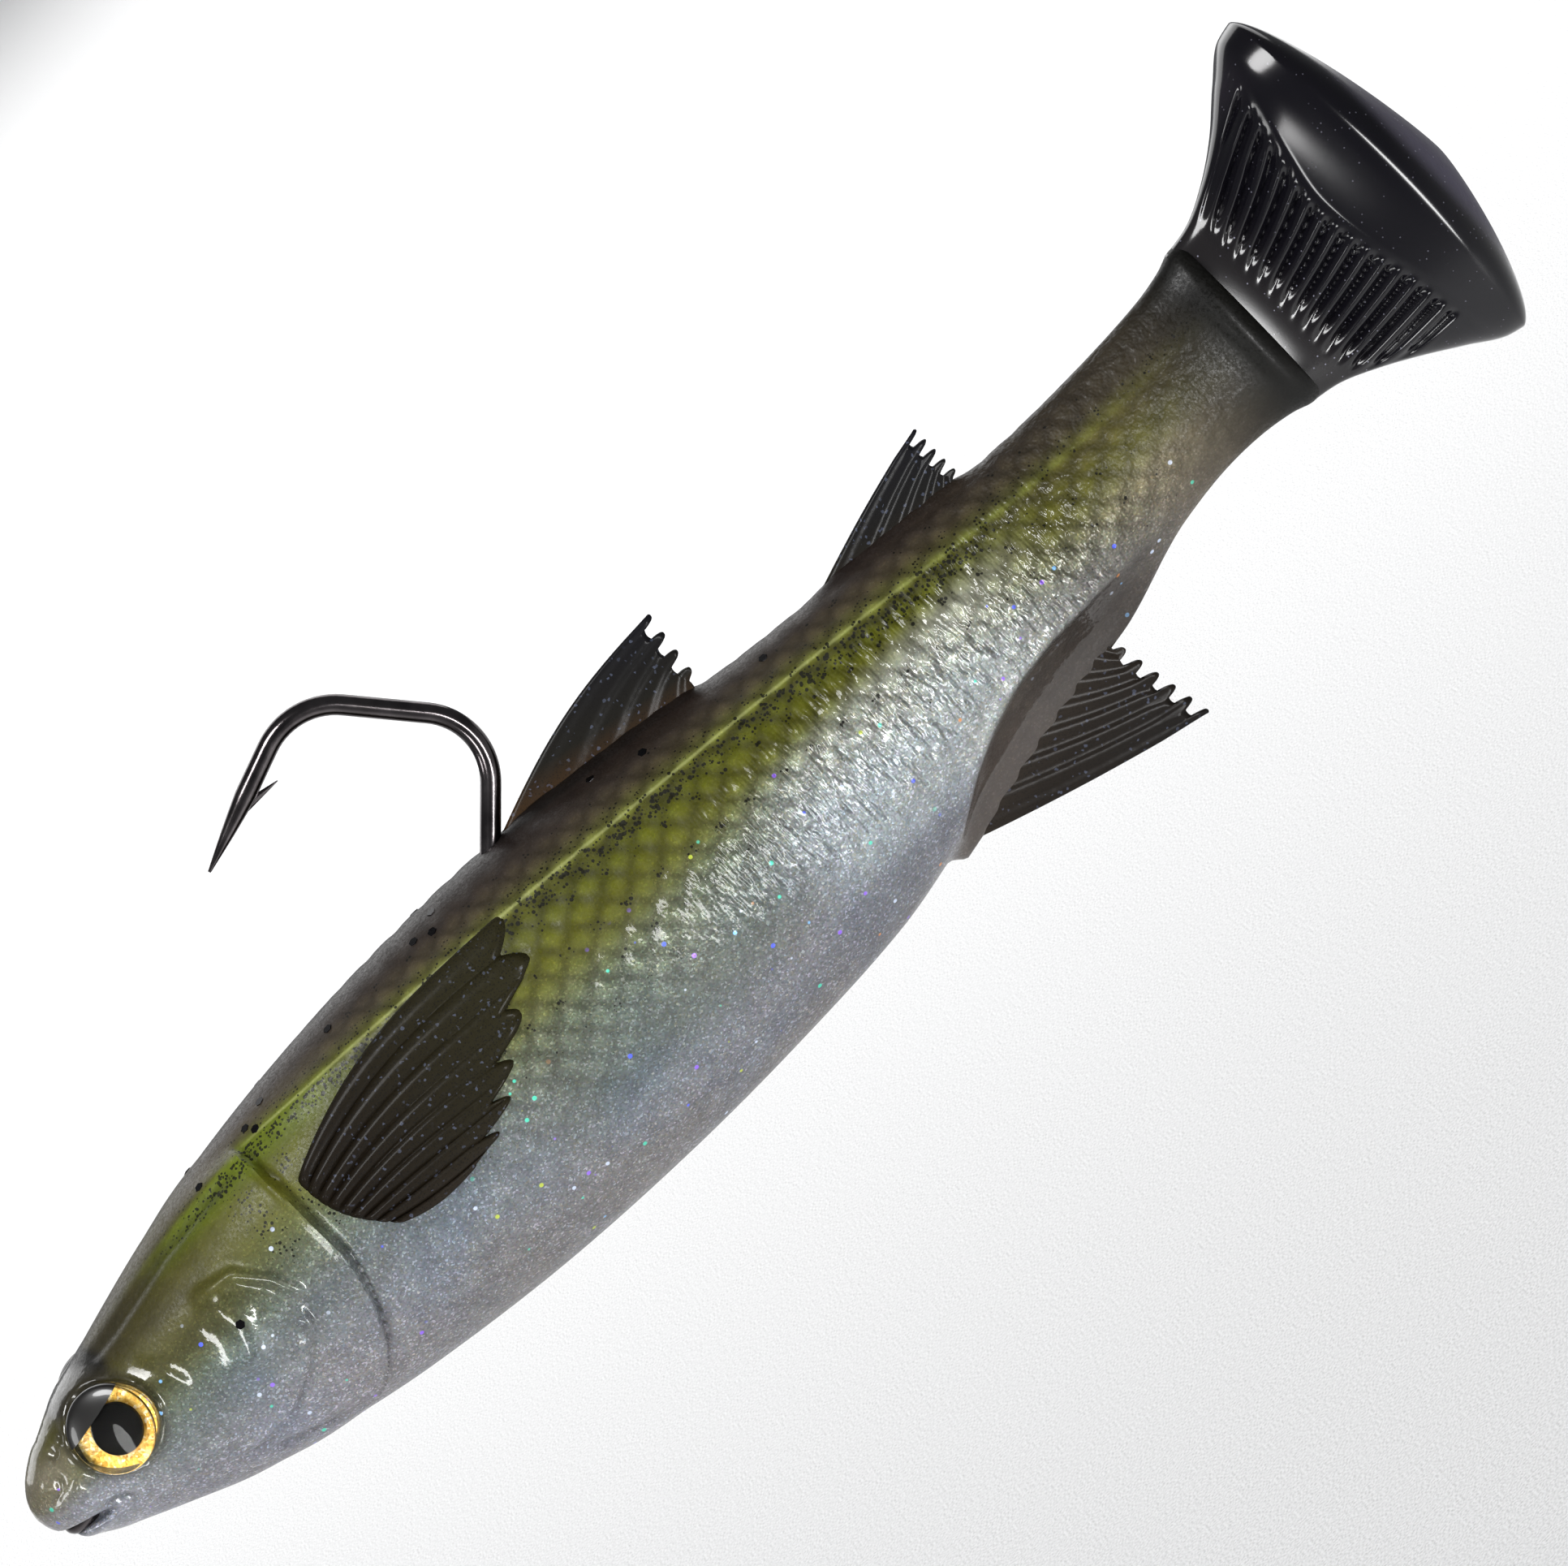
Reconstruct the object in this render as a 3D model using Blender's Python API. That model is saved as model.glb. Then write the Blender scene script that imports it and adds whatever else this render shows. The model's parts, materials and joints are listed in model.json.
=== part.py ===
"""Soft wedge-tail baitfish lure on a top jig hook.

Metres, +Z up. The nose points to -X, the tail to +X and the fish's left side faces -Y.
The world's origin is the centre of the hook's line-tie eye, inside the mouth.

Shapes are worked out in body coordinates: X is the station behind the nose and Z is the height
over the body's axis. Solid.finish moves them into the world.
"""

import math

import bmesh
import bpy
from mathutils import Matrix, Vector

MM = 0.001
GAP = 0.3 * MM  # between pieces that touch
REACH = 60 * MM  # cutters run this far past what they cut

# Body: nose to the tail's hinge, and its greatest heights and half width.
BODY_LENGTH = 133.2 * MM
BACK_HEIGHT = 13.0 * MM
BELLY_DEPTH = 15.7 * MM
BODY_HALF_WIDTH = 10.4 * MM
NOSE_ROUND = 5.0 * MM

# Outlines as (share of BODY_LENGTH, share of the greatest size).
BACK_LINE = (
    (0.0, 0.30), (0.03, 0.36), (0.053, 0.465), (0.10, 0.605), (0.165, 0.775), (0.24, 0.905),
    (0.32, 0.98), (0.39, 1.0), (0.465, 0.973), (0.556, 0.857), (0.646, 0.703), (0.75, 0.595),
    (0.826, 0.51), (0.886, 0.494), (0.953, 0.525), (0.99, 0.60),
)
BELLY_LINE = (
    (0.0, 0.24), (0.03, 0.31), (0.068, 0.45), (0.11, 0.60), (0.165, 0.725), (0.225, 0.835),
    (0.32, 0.945), (0.42, 0.995), (0.51, 0.995), (0.60, 0.955), (0.66, 0.86), (0.75, 0.70),
    (0.86, 0.55), (0.915, 0.48), (0.953, 0.482), (0.99, 0.54),
)
WIDTH_LINE = (
    (0.0, 0.32), (0.03, 0.42), (0.075, 0.63), (0.113, 0.76), (0.165, 0.86), (0.24, 0.935),
    (0.34, 1.0), (0.44, 1.0), (0.53, 0.92), (0.64, 0.76), (0.75, 0.575), (0.86, 0.41),
    (0.94, 0.315), (0.975, 0.32), (0.985, 0.34), (0.996, 0.29),
)
WAIST_LINE = ((0.0, 0.02), (0.1, 0.10), (0.3, 0.06), (0.6, -0.04), (0.85, -0.08), (1.0, -0.05))

# Gill cover: a raised plate that ends in a free rear edge.
GILL_STATION = 0.243 * BODY_LENGTH
GILL_RISE = 0.6 * MM
GILL_STEP = 1.0 * MM
GILL_FADE = 12.0 * MM
GILL_SWEEP = 7.5 * MM  # how far its lower corner runs forward

# Cheek grooves, as (share of GILL_STATION, share of BACK_HEIGHT over or BELLY_DEPTH under the axis).
CHEEK_LINES = (
    ((0.87, 0.08), (0.84, -0.11), (0.75, -0.29), (0.65, -0.41), (0.53, -0.44), (0.42, -0.40)),
    ((0.81, -0.70), (0.65, -0.60), (0.51, -0.50)),
)
CHEEK_RADIUS = 0.5 * MM
CHEEK_DEPTH = 0.3 * MM

# Mouth
MOUTH_HEIGHT = 1.5 * MM
MOUTH_DEPTH = 5.0 * MM
MOUTH_CORNER = 0.12 * MM  # height of the slit's inner end

# Hook: one piece of wire, bent in the fish's middle plane.
WIRE = 1.65 * MM
TIE_STATION = 3.4 * MM
TIE_HEIGHT = -1.9 * MM
TIE_HOLE = 1.5 * MM
HOOK_EXIT = 0.4655 * BODY_LENGTH  # station where the wire leaves the back
LEG_ANGLE = 45.0
LEG_OUT = 9.8 * MM
THROAT_ANGLE = 129.0
THROAT = 15.6 * MM
POINT_ANGLE = 200.0
POINT_LEG = 14.7 * MM
SHANK_BEND = 8.0 * MM
LOWER_BEND = 5.5 * MM
UPPER_BEND = 5.7 * MM
POINT_TAPER = 6.5 * MM
POINT_TIP = 0.12 * MM
BARB_FROM_TIP = 5.3 * MM
BARB_LENGTH = 3.2 * MM
BARB_STAND = 0.9 * MM
WIRE_SIDES = 12
WIRE_TURN = 12.0  # degrees between two sections of a bend

# Ballast: a lead keel with keeper rings, cast round the shank.
KEEL_START = 0.10 * BODY_LENGTH
KEEL_WALL = 2.0 * MM  # soft plastic left under the keel
KEEL_HALF_WIDTH = 4.2 * MM
KEEL_CREST = 0.5 * MM  # its top stands this far over the neck
LEAD_WALL = 0.9 * MM  # lead round the wire at the neck
NECK_RADIUS = WIRE / 2 + GAP + LEAD_WALL
KEEPER_RADIUS = NECK_RADIUS + 1.0 * MM
KEEPER_PITCH = 3.0 * MM
KEEPERS = 2
KEEPER_FROM_BEND = 2.2 * MM  # from the last keeper to the wire's bend
KEEL_RINGS = 12

# Eyes: a foil iris, a pupil and a clear dome, let into the head.
EYE_STATION = 0.076 * BODY_LENGTH
EYE_HEIGHT = 0.19 * BACK_HEIGHT
EYE_DIAMETER = 7.0 * MM
PUPIL_DIAMETER = 4.0 * MM
IRIS_THICK = 0.5 * MM
PUPIL_THICK = 0.3 * MM
LENS_EDGE = 0.4 * MM
LENS_DOME = 1.3 * MM
LENS_SEAT = 0.25 * MM  # the lens's edge stands this far over the skin

# Stalk joint and tail hinge, both on vertical axes.
STALK_STATION = 0.853 * BODY_LENGTH
STALK_ROUND = 1.04  # the knuckle's radius over the half width there
STALK_SWING = 20.0
WRIST_SWING = 42.0
COLLAR_WALL = 0.42 * MM  # round the wrist's knuckle
COLLAR_BACK = 0.6 * MM  # the stalk ends this far ahead of the hinge

# Tail: outlines as (share of TAIL_LENGTH behind the hinge, share of the greatest size).
TAIL_LENGTH = 18.9 * MM
TAIL_UP = 17.4 * MM
TAIL_DOWN = 16.6 * MM
TAIL_HALF_WIDTH = 7.5 * MM
TAIL_LOW_POINT = -1.4 * MM  # height of its rearmost point
TAIL_UPPER = (
    (-0.2, 0.44), (0.026, 0.475), (0.19, 0.56), (0.35, 0.68), (0.513, 0.84), (0.66, 0.965), (1.0, 1.0),
)
TAIL_LOWER = (
    (-0.2, 0.50), (0.026, 0.54), (0.19, 0.62), (0.35, 0.72), (0.513, 0.835), (0.68, 0.95), (1.0, 1.0),
)
TAIL_WIDTH = ((0.0, 0.0), (0.1, 0.02), (0.2, 0.14), (0.5, 0.55), (0.8, 0.97), (1.0, 1.0))
TAIL_ROUND_FROM = 0.74
TAIL_FULLNESS = 0.75  # under 1, its section is fuller than an ellipse

# Flutes moulded into both faces of the tail, fanned from top to bottom.
FLUTES = 16
FLUTE_TOP = 0.517 * TAIL_UP
FLUTE_BOTTOM = -0.639 * TAIL_DOWN
FLUTE_START = 2.0 * MM  # behind the hinge
FLUTE_LENGTH = 0.39 * TAIL_LENGTH
FLUTE_RADIUS = 0.45 * MM
FLUTE_DEPTH = 0.38 * MM
FLUTE_TOP_SLOPE = 30.0
FLUTE_BOTTOM_SLOPE = 4.0

# Median fins, each with a height over its root's axis, a lean of its tip aft and free ray tips.
FIRST_DORSAL_REAR = 0.608 * BODY_LENGTH
FIRST_DORSAL = (7.6 * MM, 1.2 * MM, 5)
SECOND_DORSAL_FRONT = 0.698 * BODY_LENGTH
SECOND_DORSAL = (6.2 * MM, 0.4 * MM, 5)
ANAL_FRONT = 0.646 * BODY_LENGTH
ANAL = (10.2 * MM, -1.4 * MM, 6)
FIN_FROM_WIRE = 0.6 * MM
FIN_FROM_STALK = 1.95 * MM
FIN_BOW = 0.10  # of the leading edge, as a share of the height
FIN_BEAD = 1.0 * MM  # radius of the root that turns in the body
FIN_ROOT_THICK = 1.3 * MM
FIN_EDGE_THICK = 0.6 * MM
FIN_SINK = 0.9 * MM  # the root's axis lies this far under the skin
FIN_SWING = 28.0
FIN_TIP_REACH = 1.9 * MM
FIN_NOTCH = 0.8 * MM

# Pectoral fins: fans moulded against the flanks.
FAN_FROM_GILL = 2.1 * MM
FAN_TOP = 0.49 * BACK_HEIGHT
FAN_BOTTOM = -0.15 * BACK_HEIGHT
FAN_ARCH = 0.32 * BACK_HEIGHT  # of its top ray
FAN_LOWER_ARCH = -0.05 * BACK_HEIGHT
FAN_LENGTH = 24.0 * MM
FAN_LOWER_LENGTH = 8.0 * MM
FAN_ROOT_SLANT = 4.0 * MM
FAN_THICK = 0.7 * MM
FAN_RAY = 0.35 * MM
FAN_NOTCH = 1.3 * MM
FAN_TIPS = 6

SECTION_POINTS = 28
TAIL_POINTS = 24
TIE = Vector((TIE_STATION, 0.0, TIE_HEIGHT))


def through(knots):
    """Return a function that reads a smooth cubic curve through (position, value) knots."""
    slopes = []
    for i in range(len(knots)):
        before = knots[max(i - 1, 0)]
        after = knots[min(i + 1, len(knots) - 1)]
        slopes.append((after[1] - before[1]) / (after[0] - before[0]))

    def read(position):
        position = min(max(position, knots[0][0]), knots[-1][0])
        i = 0
        while position > knots[i + 1][0]:
            i += 1
        (start, first), (end, last) = knots[i], knots[i + 1]
        span = end - start
        t = (position - start) / span
        u = 1.0 - t
        return (
            first * (1 + 2 * t) * u * u
            + slopes[i] * span * t * u * u
            + last * t * t * (3 - 2 * t)
            - slopes[i + 1] * span * t * t * u
        )

    return read


def ease(t):
    """Return 0 before 0, 1 after 1 and a smooth step between."""
    t = min(max(t, 0.0), 1.0)
    return t * t * (3 - 2 * t)


back_share = through(BACK_LINE)
belly_share = through(BELLY_LINE)
width_share = through(WIDTH_LINE)
waist_share = through(WAIST_LINE)
tail_upper_share = through(TAIL_UPPER)
tail_lower_share = through(TAIL_LOWER)
tail_width_share = through(TAIL_WIDTH)


# ---------------------------------------------------------------- the body's surface


def nose_factor(station):
    """Return how full the rounded nose is at a station: 0 at its tip, 1 behind NOSE_ROUND."""
    rest = max(0.0, 1.0 - station / NOSE_ROUND)
    return math.sqrt(max(0.0, 1.0 - rest * rest))


def body_sizes(station):
    """Return the back's height, the belly's height, the half width and the widest height."""
    share = station / BODY_LENGTH
    full = nose_factor(station)
    waist = waist_share(share) * BACK_HEIGHT
    back = waist + (back_share(share) * BACK_HEIGHT - waist) * full
    belly = waist + (-belly_share(share) * BELLY_DEPTH - waist) * full
    return back, belly, width_share(share) * BODY_HALF_WIDTH * full, waist


def oval(back, belly, half, waist, angle):
    """Return a section's point: angle 0 is the back, a half turn is the belly, -Y comes first."""
    upper = math.cos(angle)
    height = waist + upper * ((back - waist) if upper > 0 else (waist - belly))
    return Vector((0.0, -half * math.sin(angle), height))


def gill_edge(angle):
    """Return the station of the gill cover's rear edge at an angle round the section."""
    down = max(0.0, math.degrees(min(angle, 2 * math.pi - angle)) - 75.0) / 90.0
    return GILL_STATION - GILL_SWEEP * down * down


def gill_rise(station, angle):
    """Return how far the gill cover stands out of the section."""
    side = ease((abs(math.sin(angle)) - 0.25) / 0.3)
    edge = gill_edge(angle)
    plate = ease((edge - station) / GILL_STEP) * ease((station - edge + GILL_FADE) / GILL_FADE)
    return GILL_RISE * plate * side


def skin(station, angle):
    """Return the body's surface point at a station and an angle."""
    point = oval(*body_sizes(station), angle)
    rise = gill_rise(station, angle)
    point += Vector((0.0, -math.sin(angle), math.cos(angle))) * rise
    return Vector((station, point.y, point.z))


def skin_angle(station, height):
    """Return the angle of the left side's surface point at a height."""
    back, belly, _, waist = body_sizes(station)
    reach = (back - waist) if height > waist else (waist - belly)
    return math.acos(min(max((height - waist) / reach, -1.0), 1.0))


def skin_normal(station, angle):
    """Return the outward direction of the surface."""
    step = 0.4 * MM
    turn = 0.02
    along = skin(station + step, angle) - skin(station - step, angle)
    around = skin(station, angle + turn) - skin(station, angle - turn)
    return around.cross(along).normalized()


def spaced(start, end, step):
    """Return evenly spaced stations from start to end, about a step apart."""
    count = max(1, round((end - start) / step))
    return [start + (end - start) * i / count for i in range(count + 1)]


def turns(count):
    """Return angles once round a section."""
    return [2 * math.pi * i / count for i in range(count)]


# ---------------------------------------------------------------- building solids


class Solid:
    """One mesh object under construction, with its cutters and additions."""

    def __init__(self, name, pivot=None):
        self.name = name
        self.pivot = (pivot if pivot is not None else TIE).copy()
        self.bm = bmesh.new()
        self.steps = []

    def loft(self, rings):
        """Skin closed rings of equal length, with flat ends."""
        loops = [[self.bm.verts.new(point) for point in ring] for ring in rings]
        count = len(loops[0])
        for ahead, behind in zip(loops, loops[1:]):
            for i in range(count):
                k = (i + 1) % count
                self.bm.faces.new((ahead[i], ahead[k], behind[k], behind[i]))
        self.bm.faces.new(loops[0])
        self.bm.faces.new(loops[-1])
        return self

    def turned(self, profile, place, sides):
        """Spin a (radius, height) profile that starts and ends on its own Z axis."""
        verts = [self.bm.verts.new((radius, 0.0, height)) for radius, height in profile]
        edges = [self.bm.edges.new(pair) for pair in zip(verts, verts[1:])]
        bmesh.ops.spin(
            self.bm, geom=verts + edges, axis=(0, 0, 1), cent=(0, 0, 0),
            steps=sides, angle=2 * math.pi, use_merge=True,
        )
        bmesh.ops.remove_doubles(self.bm, verts=self.bm.verts[:], dist=1e-6)
        self.bm.transform(place)
        return self

    def extruded(self, outline, depth):
        """Extrude a closed outline of points both ways along a vector."""
        face = self.bm.faces.new([self.bm.verts.new(point - depth) for point in outline])
        grown = bmesh.ops.extrude_face_region(self.bm, geom=[face])
        moved = [part for part in grown["geom"] if isinstance(part, bmesh.types.BMVert)]
        bmesh.ops.translate(self.bm, verts=moved, vec=depth * 2)
        return self

    def cut(self, tool):
        self.steps.append(("DIFFERENCE", tool))
        return self

    def add(self, tool):
        self.steps.append(("UNION", tool))
        return self

    def keep(self, tool):
        self.steps.append(("INTERSECT", tool))
        return self

    def object(self, material=None):
        """Write the mesh to a scene object whose origin is on the pivot."""
        bmesh.ops.recalc_face_normals(self.bm, faces=self.bm.faces[:])
        if self.bm.calc_volume(signed=True) < 0:
            bmesh.ops.reverse_faces(self.bm, faces=self.bm.faces[:])
        bmesh.ops.translate(self.bm, verts=self.bm.verts[:], vec=-self.pivot)
        mesh = bpy.data.meshes.new(self.name)
        self.bm.to_mesh(mesh)
        self.bm.free()
        mesh.shade_smooth()
        mesh.set_sharp_from_angle(angle=math.radians(35))
        made = bpy.data.objects.new(self.name, mesh)
        made.location = self.pivot - TIE
        bpy.context.scene.collection.objects.link(made)
        if material:
            mesh.materials.append(material)
        return made

    def tool(self):
        """Write the mesh as a guide that only cuts or adds."""
        made = self.finish(None)
        made.hide_render = True
        made.hide_set(True)
        made.display_type = "WIRE"
        return made

    def finish(self, material):
        """Write the object and put its cuts and additions on it."""
        made = self.object(material)
        for i, (operation, tool) in enumerate(self.steps):
            step = made.modifiers.new(f"{operation.lower()}_{i}", "BOOLEAN")
            step.operation = operation
            step.solver = "EXACT"
            step.object = tool
        return made


def finish_of(name, colour, roughness, metallic=0.0):
    """Return a material with the given base colour, roughness and metallic value."""
    material = bpy.data.materials.new(name)
    material.use_nodes = True
    shader = material.node_tree.nodes["Principled BSDF"]
    shader.inputs["Base Color"].default_value = (*colour, 1.0)
    shader.inputs["Roughness"].default_value = roughness
    shader.inputs["Metallic"].default_value = metallic
    material.diffuse_color = (*colour, 1.0)
    return material


# ---------------------------------------------------------------- hook


def bend_reach(radius, degrees):
    """Return how far from its corner a bend of the wire starts."""
    return radius * math.tan(math.radians(degrees / 2))


def rounded(corners, radii):
    """Return a path through corners, each inner one rounded by its radius."""
    path = [corners[0]]
    for before, corner, after, radius in zip(corners, corners[1:], corners[2:], radii):
        incoming = (corner - before).normalized()
        outgoing = (after - corner).normalized()
        bend = incoming.angle(outgoing)
        start = corner - incoming * radius * math.tan(bend / 2)
        inward = (outgoing - incoming * incoming.dot(outgoing)).normalized()
        steps = max(2, round(math.degrees(bend) / WIRE_TURN))
        for i in range(steps + 1):
            turn = bend * i / steps
            path.append(start + incoming * radius * math.sin(turn) + inward * radius * (1 - math.cos(turn)))
    path.append(corners[-1])
    return path


def heading(degrees):
    """Return a direction in the fish's middle plane, measured up from the tail's side."""
    return Vector((math.cos(math.radians(degrees)), 0.0, math.sin(math.radians(degrees))))


def sweep(path, radii, sides):
    """Return rings round a path, turned as little as possible from one to the next."""
    rings = []
    side = Vector((0.0, 1.0, 0.0))
    for i, point in enumerate(path):
        ahead = path[min(i + 1, len(path) - 1)]
        behind = path[max(i - 1, 0)]
        along = (ahead - point).normalized() + (point - behind).normalized()
        along.normalize()
        if i == 0:
            side = along.cross(Vector((0.0, 0.0, 1.0))).normalized()
        side = (side - along * side.dot(along)).normalized()
        other = along.cross(side)
        rings.append([point + (side * math.cos(a) + other * math.sin(a)) * radii[i] for a in turns(sides)])
    return rings


def hook_corners():
    """Return the corners of the hook's wire behind the eye: bend, exit leg, throat and point."""
    exit_point = Vector((HOOK_EXIT, 0.0, body_sizes(HOOK_EXIT)[0]))
    rise = (exit_point.z - TIE.z) / math.tan(math.radians(LEG_ANGLE))
    shank_end = Vector((HOOK_EXIT - rise, 0.0, TIE.z))
    low = exit_point + heading(LEG_ANGLE) * LEG_OUT
    high = low + heading(THROAT_ANGLE) * THROAT
    return [shank_end, low, high, high + heading(POINT_ANGLE) * POINT_LEG]


def eye_loop():
    """Return the line-tie eye's centreline: an open ring that leads into the shank."""
    ring = (TIE_HOLE + WIRE) / 2
    steps = 17
    start, end = 45.0, 300.0
    angles = [math.radians(start + (end - start) * i / steps) for i in range(steps + 1)]
    return [TIE + Vector((math.cos(a), math.sin(a), 0.0)) * ring for a in angles], ring


def hook_path():
    """Return the whole wire's centreline, from the eye's free end to the point."""
    loop, ring = eye_loop()
    neck = TIE + Vector((ring * 2.0, 0.0, 0.0))
    tail = rounded([loop[-1], neck, *hook_corners()], [ring, SHANK_BEND, LOWER_BEND, UPPER_BEND])
    return loop[:-1] + tail


def point_stretch(path):
    """Add sections along the point's taper."""
    tip = path[-1]
    back = (path[-2] - tip).normalized()
    return path[:-1] + [tip + back * POINT_TAPER * share for share in (1.0, 0.75, 0.5, 0.25, 0.08)] + [tip]


def wire_radii(path):
    """Return the wire's radius along its path: full, then a needle point."""
    radii = []
    for point in path:
        share = min((point - path[-1]).length / POINT_TAPER, 1.0) if point.z > path[-1].z - WIRE else 1.0
        radii.append(POINT_TIP + (WIRE / 2 - POINT_TIP) * math.sqrt(share))
    return radii


def barb(path):
    """Return the barb: a small spur that leans back from the point leg."""
    tip = path[-1]
    back = (path[-2] - tip).normalized()
    inward = heading(POINT_ANGLE + 90.0)
    root = tip + back * BARB_FROM_TIP
    end = root + back * BARB_LENGTH + inward * (WIRE / 2 + BARB_STAND)
    along = end - root
    place = Matrix.Translation(root) @ along.to_track_quat("Z", "Y").to_matrix().to_4x4()
    width = WIRE * 0.28
    profile = [(0.0, 0.0), (width, 0.0), (width * 0.2, along.length), (0.0, along.length)]
    return Solid("barb_tool").turned(profile, place, 8)


def hook_channel():
    """Return the way through the soft body and the lead that the wire lies in."""
    path = rounded([TIE + Vector((TIE_HOLE, 0.0, 0.0)), *hook_corners()[:2]], [SHANK_BEND])
    return Solid("hook_channel_tool").loft(sweep(path, [WIRE / 2 + GAP] * len(path), WIRE_SIDES))


def build_hook(material):
    path = point_stretch(hook_path())
    solid = Solid("hook").loft(sweep(path, wire_radii(path), WIRE_SIDES))
    return solid.add(barb(path).tool()).finish(material)


# ---------------------------------------------------------------- ballast


def keel_length():
    """Return the keel's length: it and its keepers fill the shank ahead of the wire's bend."""
    bend = hook_corners()[0].x - bend_reach(SHANK_BEND, LEG_ANGLE)
    return bend - KEEPER_FROM_BEND - KEEPERS * KEEPER_PITCH - KEEL_START


def keel_depth():
    """Return how far the keel reaches under the shank: down to its wall over the belly."""
    belly = body_sizes(KEEL_START + keel_length() / 2)[1]
    return TIE.z - belly - KEEL_WALL


def ballast_stations(grow):
    """Return (station, upper, lower, half width) of the lead, each side grown by a clearance."""
    rows = []
    length, depth = keel_length(), keel_depth()
    for i in range(KEEL_RINGS + 1):
        turn = math.pi * i / KEEL_RINGS
        station = KEEL_START + length * (1 - math.cos(turn)) / 2
        full = max(math.sin(turn) ** 0.7, 0.0)
        neck = NECK_RADIUS if i else NECK_RADIUS * 0.8
        rows.append((
            station,
            neck + (NECK_RADIUS + KEEL_CREST - neck) * full,
            neck + (depth - neck) * full,
            neck + (KEEL_HALF_WIDTH - neck) * full,
        ))
    station = KEEL_START + length
    for _ in range(KEEPERS):
        for offset, radius in ((0.35, NECK_RADIUS), (0.45, KEEPER_RADIUS), (1.0, NECK_RADIUS)):
            rows.append((station + KEEPER_PITCH * offset, radius, radius, radius))
        station += KEEPER_PITCH
    rows[0] = (rows[0][0] - grow, *rows[0][1:])
    rows[-1] = (rows[-1][0] + grow, *rows[-1][1:])
    return [(station, up + grow, down + grow, half + grow) for station, up, down, half in rows]


def ballast_solid(name, grow):
    rings = []
    for station, up, down, half in ballast_stations(grow):
        centre = Vector((station, 0.0, TIE.z))
        rings.append([centre + oval(up, -down, half, 0.0, a) for a in turns(20)])
    return Solid(name).loft(rings)


def build_ballast(material, channel):
    return ballast_solid("ballast_weight", 0.0).cut(channel).finish(material)


# ---------------------------------------------------------------- eyes


def eye_place(side):
    """Return the frame on the skin where an eye sits, its Z axis outward. Side -1 is the left eye."""
    angle = skin_angle(EYE_STATION, EYE_HEIGHT)
    centre = skin(EYE_STATION, angle)
    outward = skin_normal(EYE_STATION, angle)
    if side > 0:
        centre.y = -centre.y
        outward.y = -outward.y
    return Matrix.Translation(centre) @ outward.to_track_quat("Z", "Y").to_matrix().to_4x4()


def disc_profile(radius, low, high):
    return [(0.0, low), (radius, low), (radius, high), (0.0, high)]


def dome_profile(radius, low, edge, rise):
    """Return a clear dome: a flat seat, a short edge and a round top."""
    steps = 6
    arc = [
        (radius * math.cos(math.pi / 2 * i / steps), low + edge + rise * math.sin(math.pi / 2 * i / steps))
        for i in range(steps)
    ]
    return [(0.0, low), (radius, low), *arc, (0.0, low + edge + rise)]


def eye_levels():
    """Return heights over the skin of the lens's seat, the pupil's, the iris's and the socket's floor."""
    lens = LENS_SEAT - LENS_EDGE
    pupil = lens - GAP - PUPIL_THICK
    iris = pupil - GAP - IRIS_THICK
    return lens, pupil, iris, iris - GAP


def build_eye(word, side, iris_finish, pupil_finish, lens_finish):
    place = eye_place(side)
    lens, pupil, iris, _ = eye_levels()
    radius = EYE_DIAMETER / 2
    Solid(f"{word}_iris").turned(disc_profile(radius, iris, iris + IRIS_THICK), place, 24).finish(iris_finish)
    small = disc_profile(PUPIL_DIAMETER / 2, pupil, pupil + PUPIL_THICK)
    Solid(f"{word}_pupil").turned(small, place, 20).finish(pupil_finish)
    dome = dome_profile(radius, lens, LENS_EDGE, LENS_DOME)
    Solid(f"{word}_eye_lens").turned(dome, place, 24).finish(lens_finish)


def eye_socket(side):
    floor = eye_levels()[3]
    profile = disc_profile(EYE_DIAMETER / 2 + GAP, floor, REACH)
    return Solid("eye_socket_tool").turned(profile, eye_place(side), 24)


# ---------------------------------------------------------------- median fins


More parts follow.
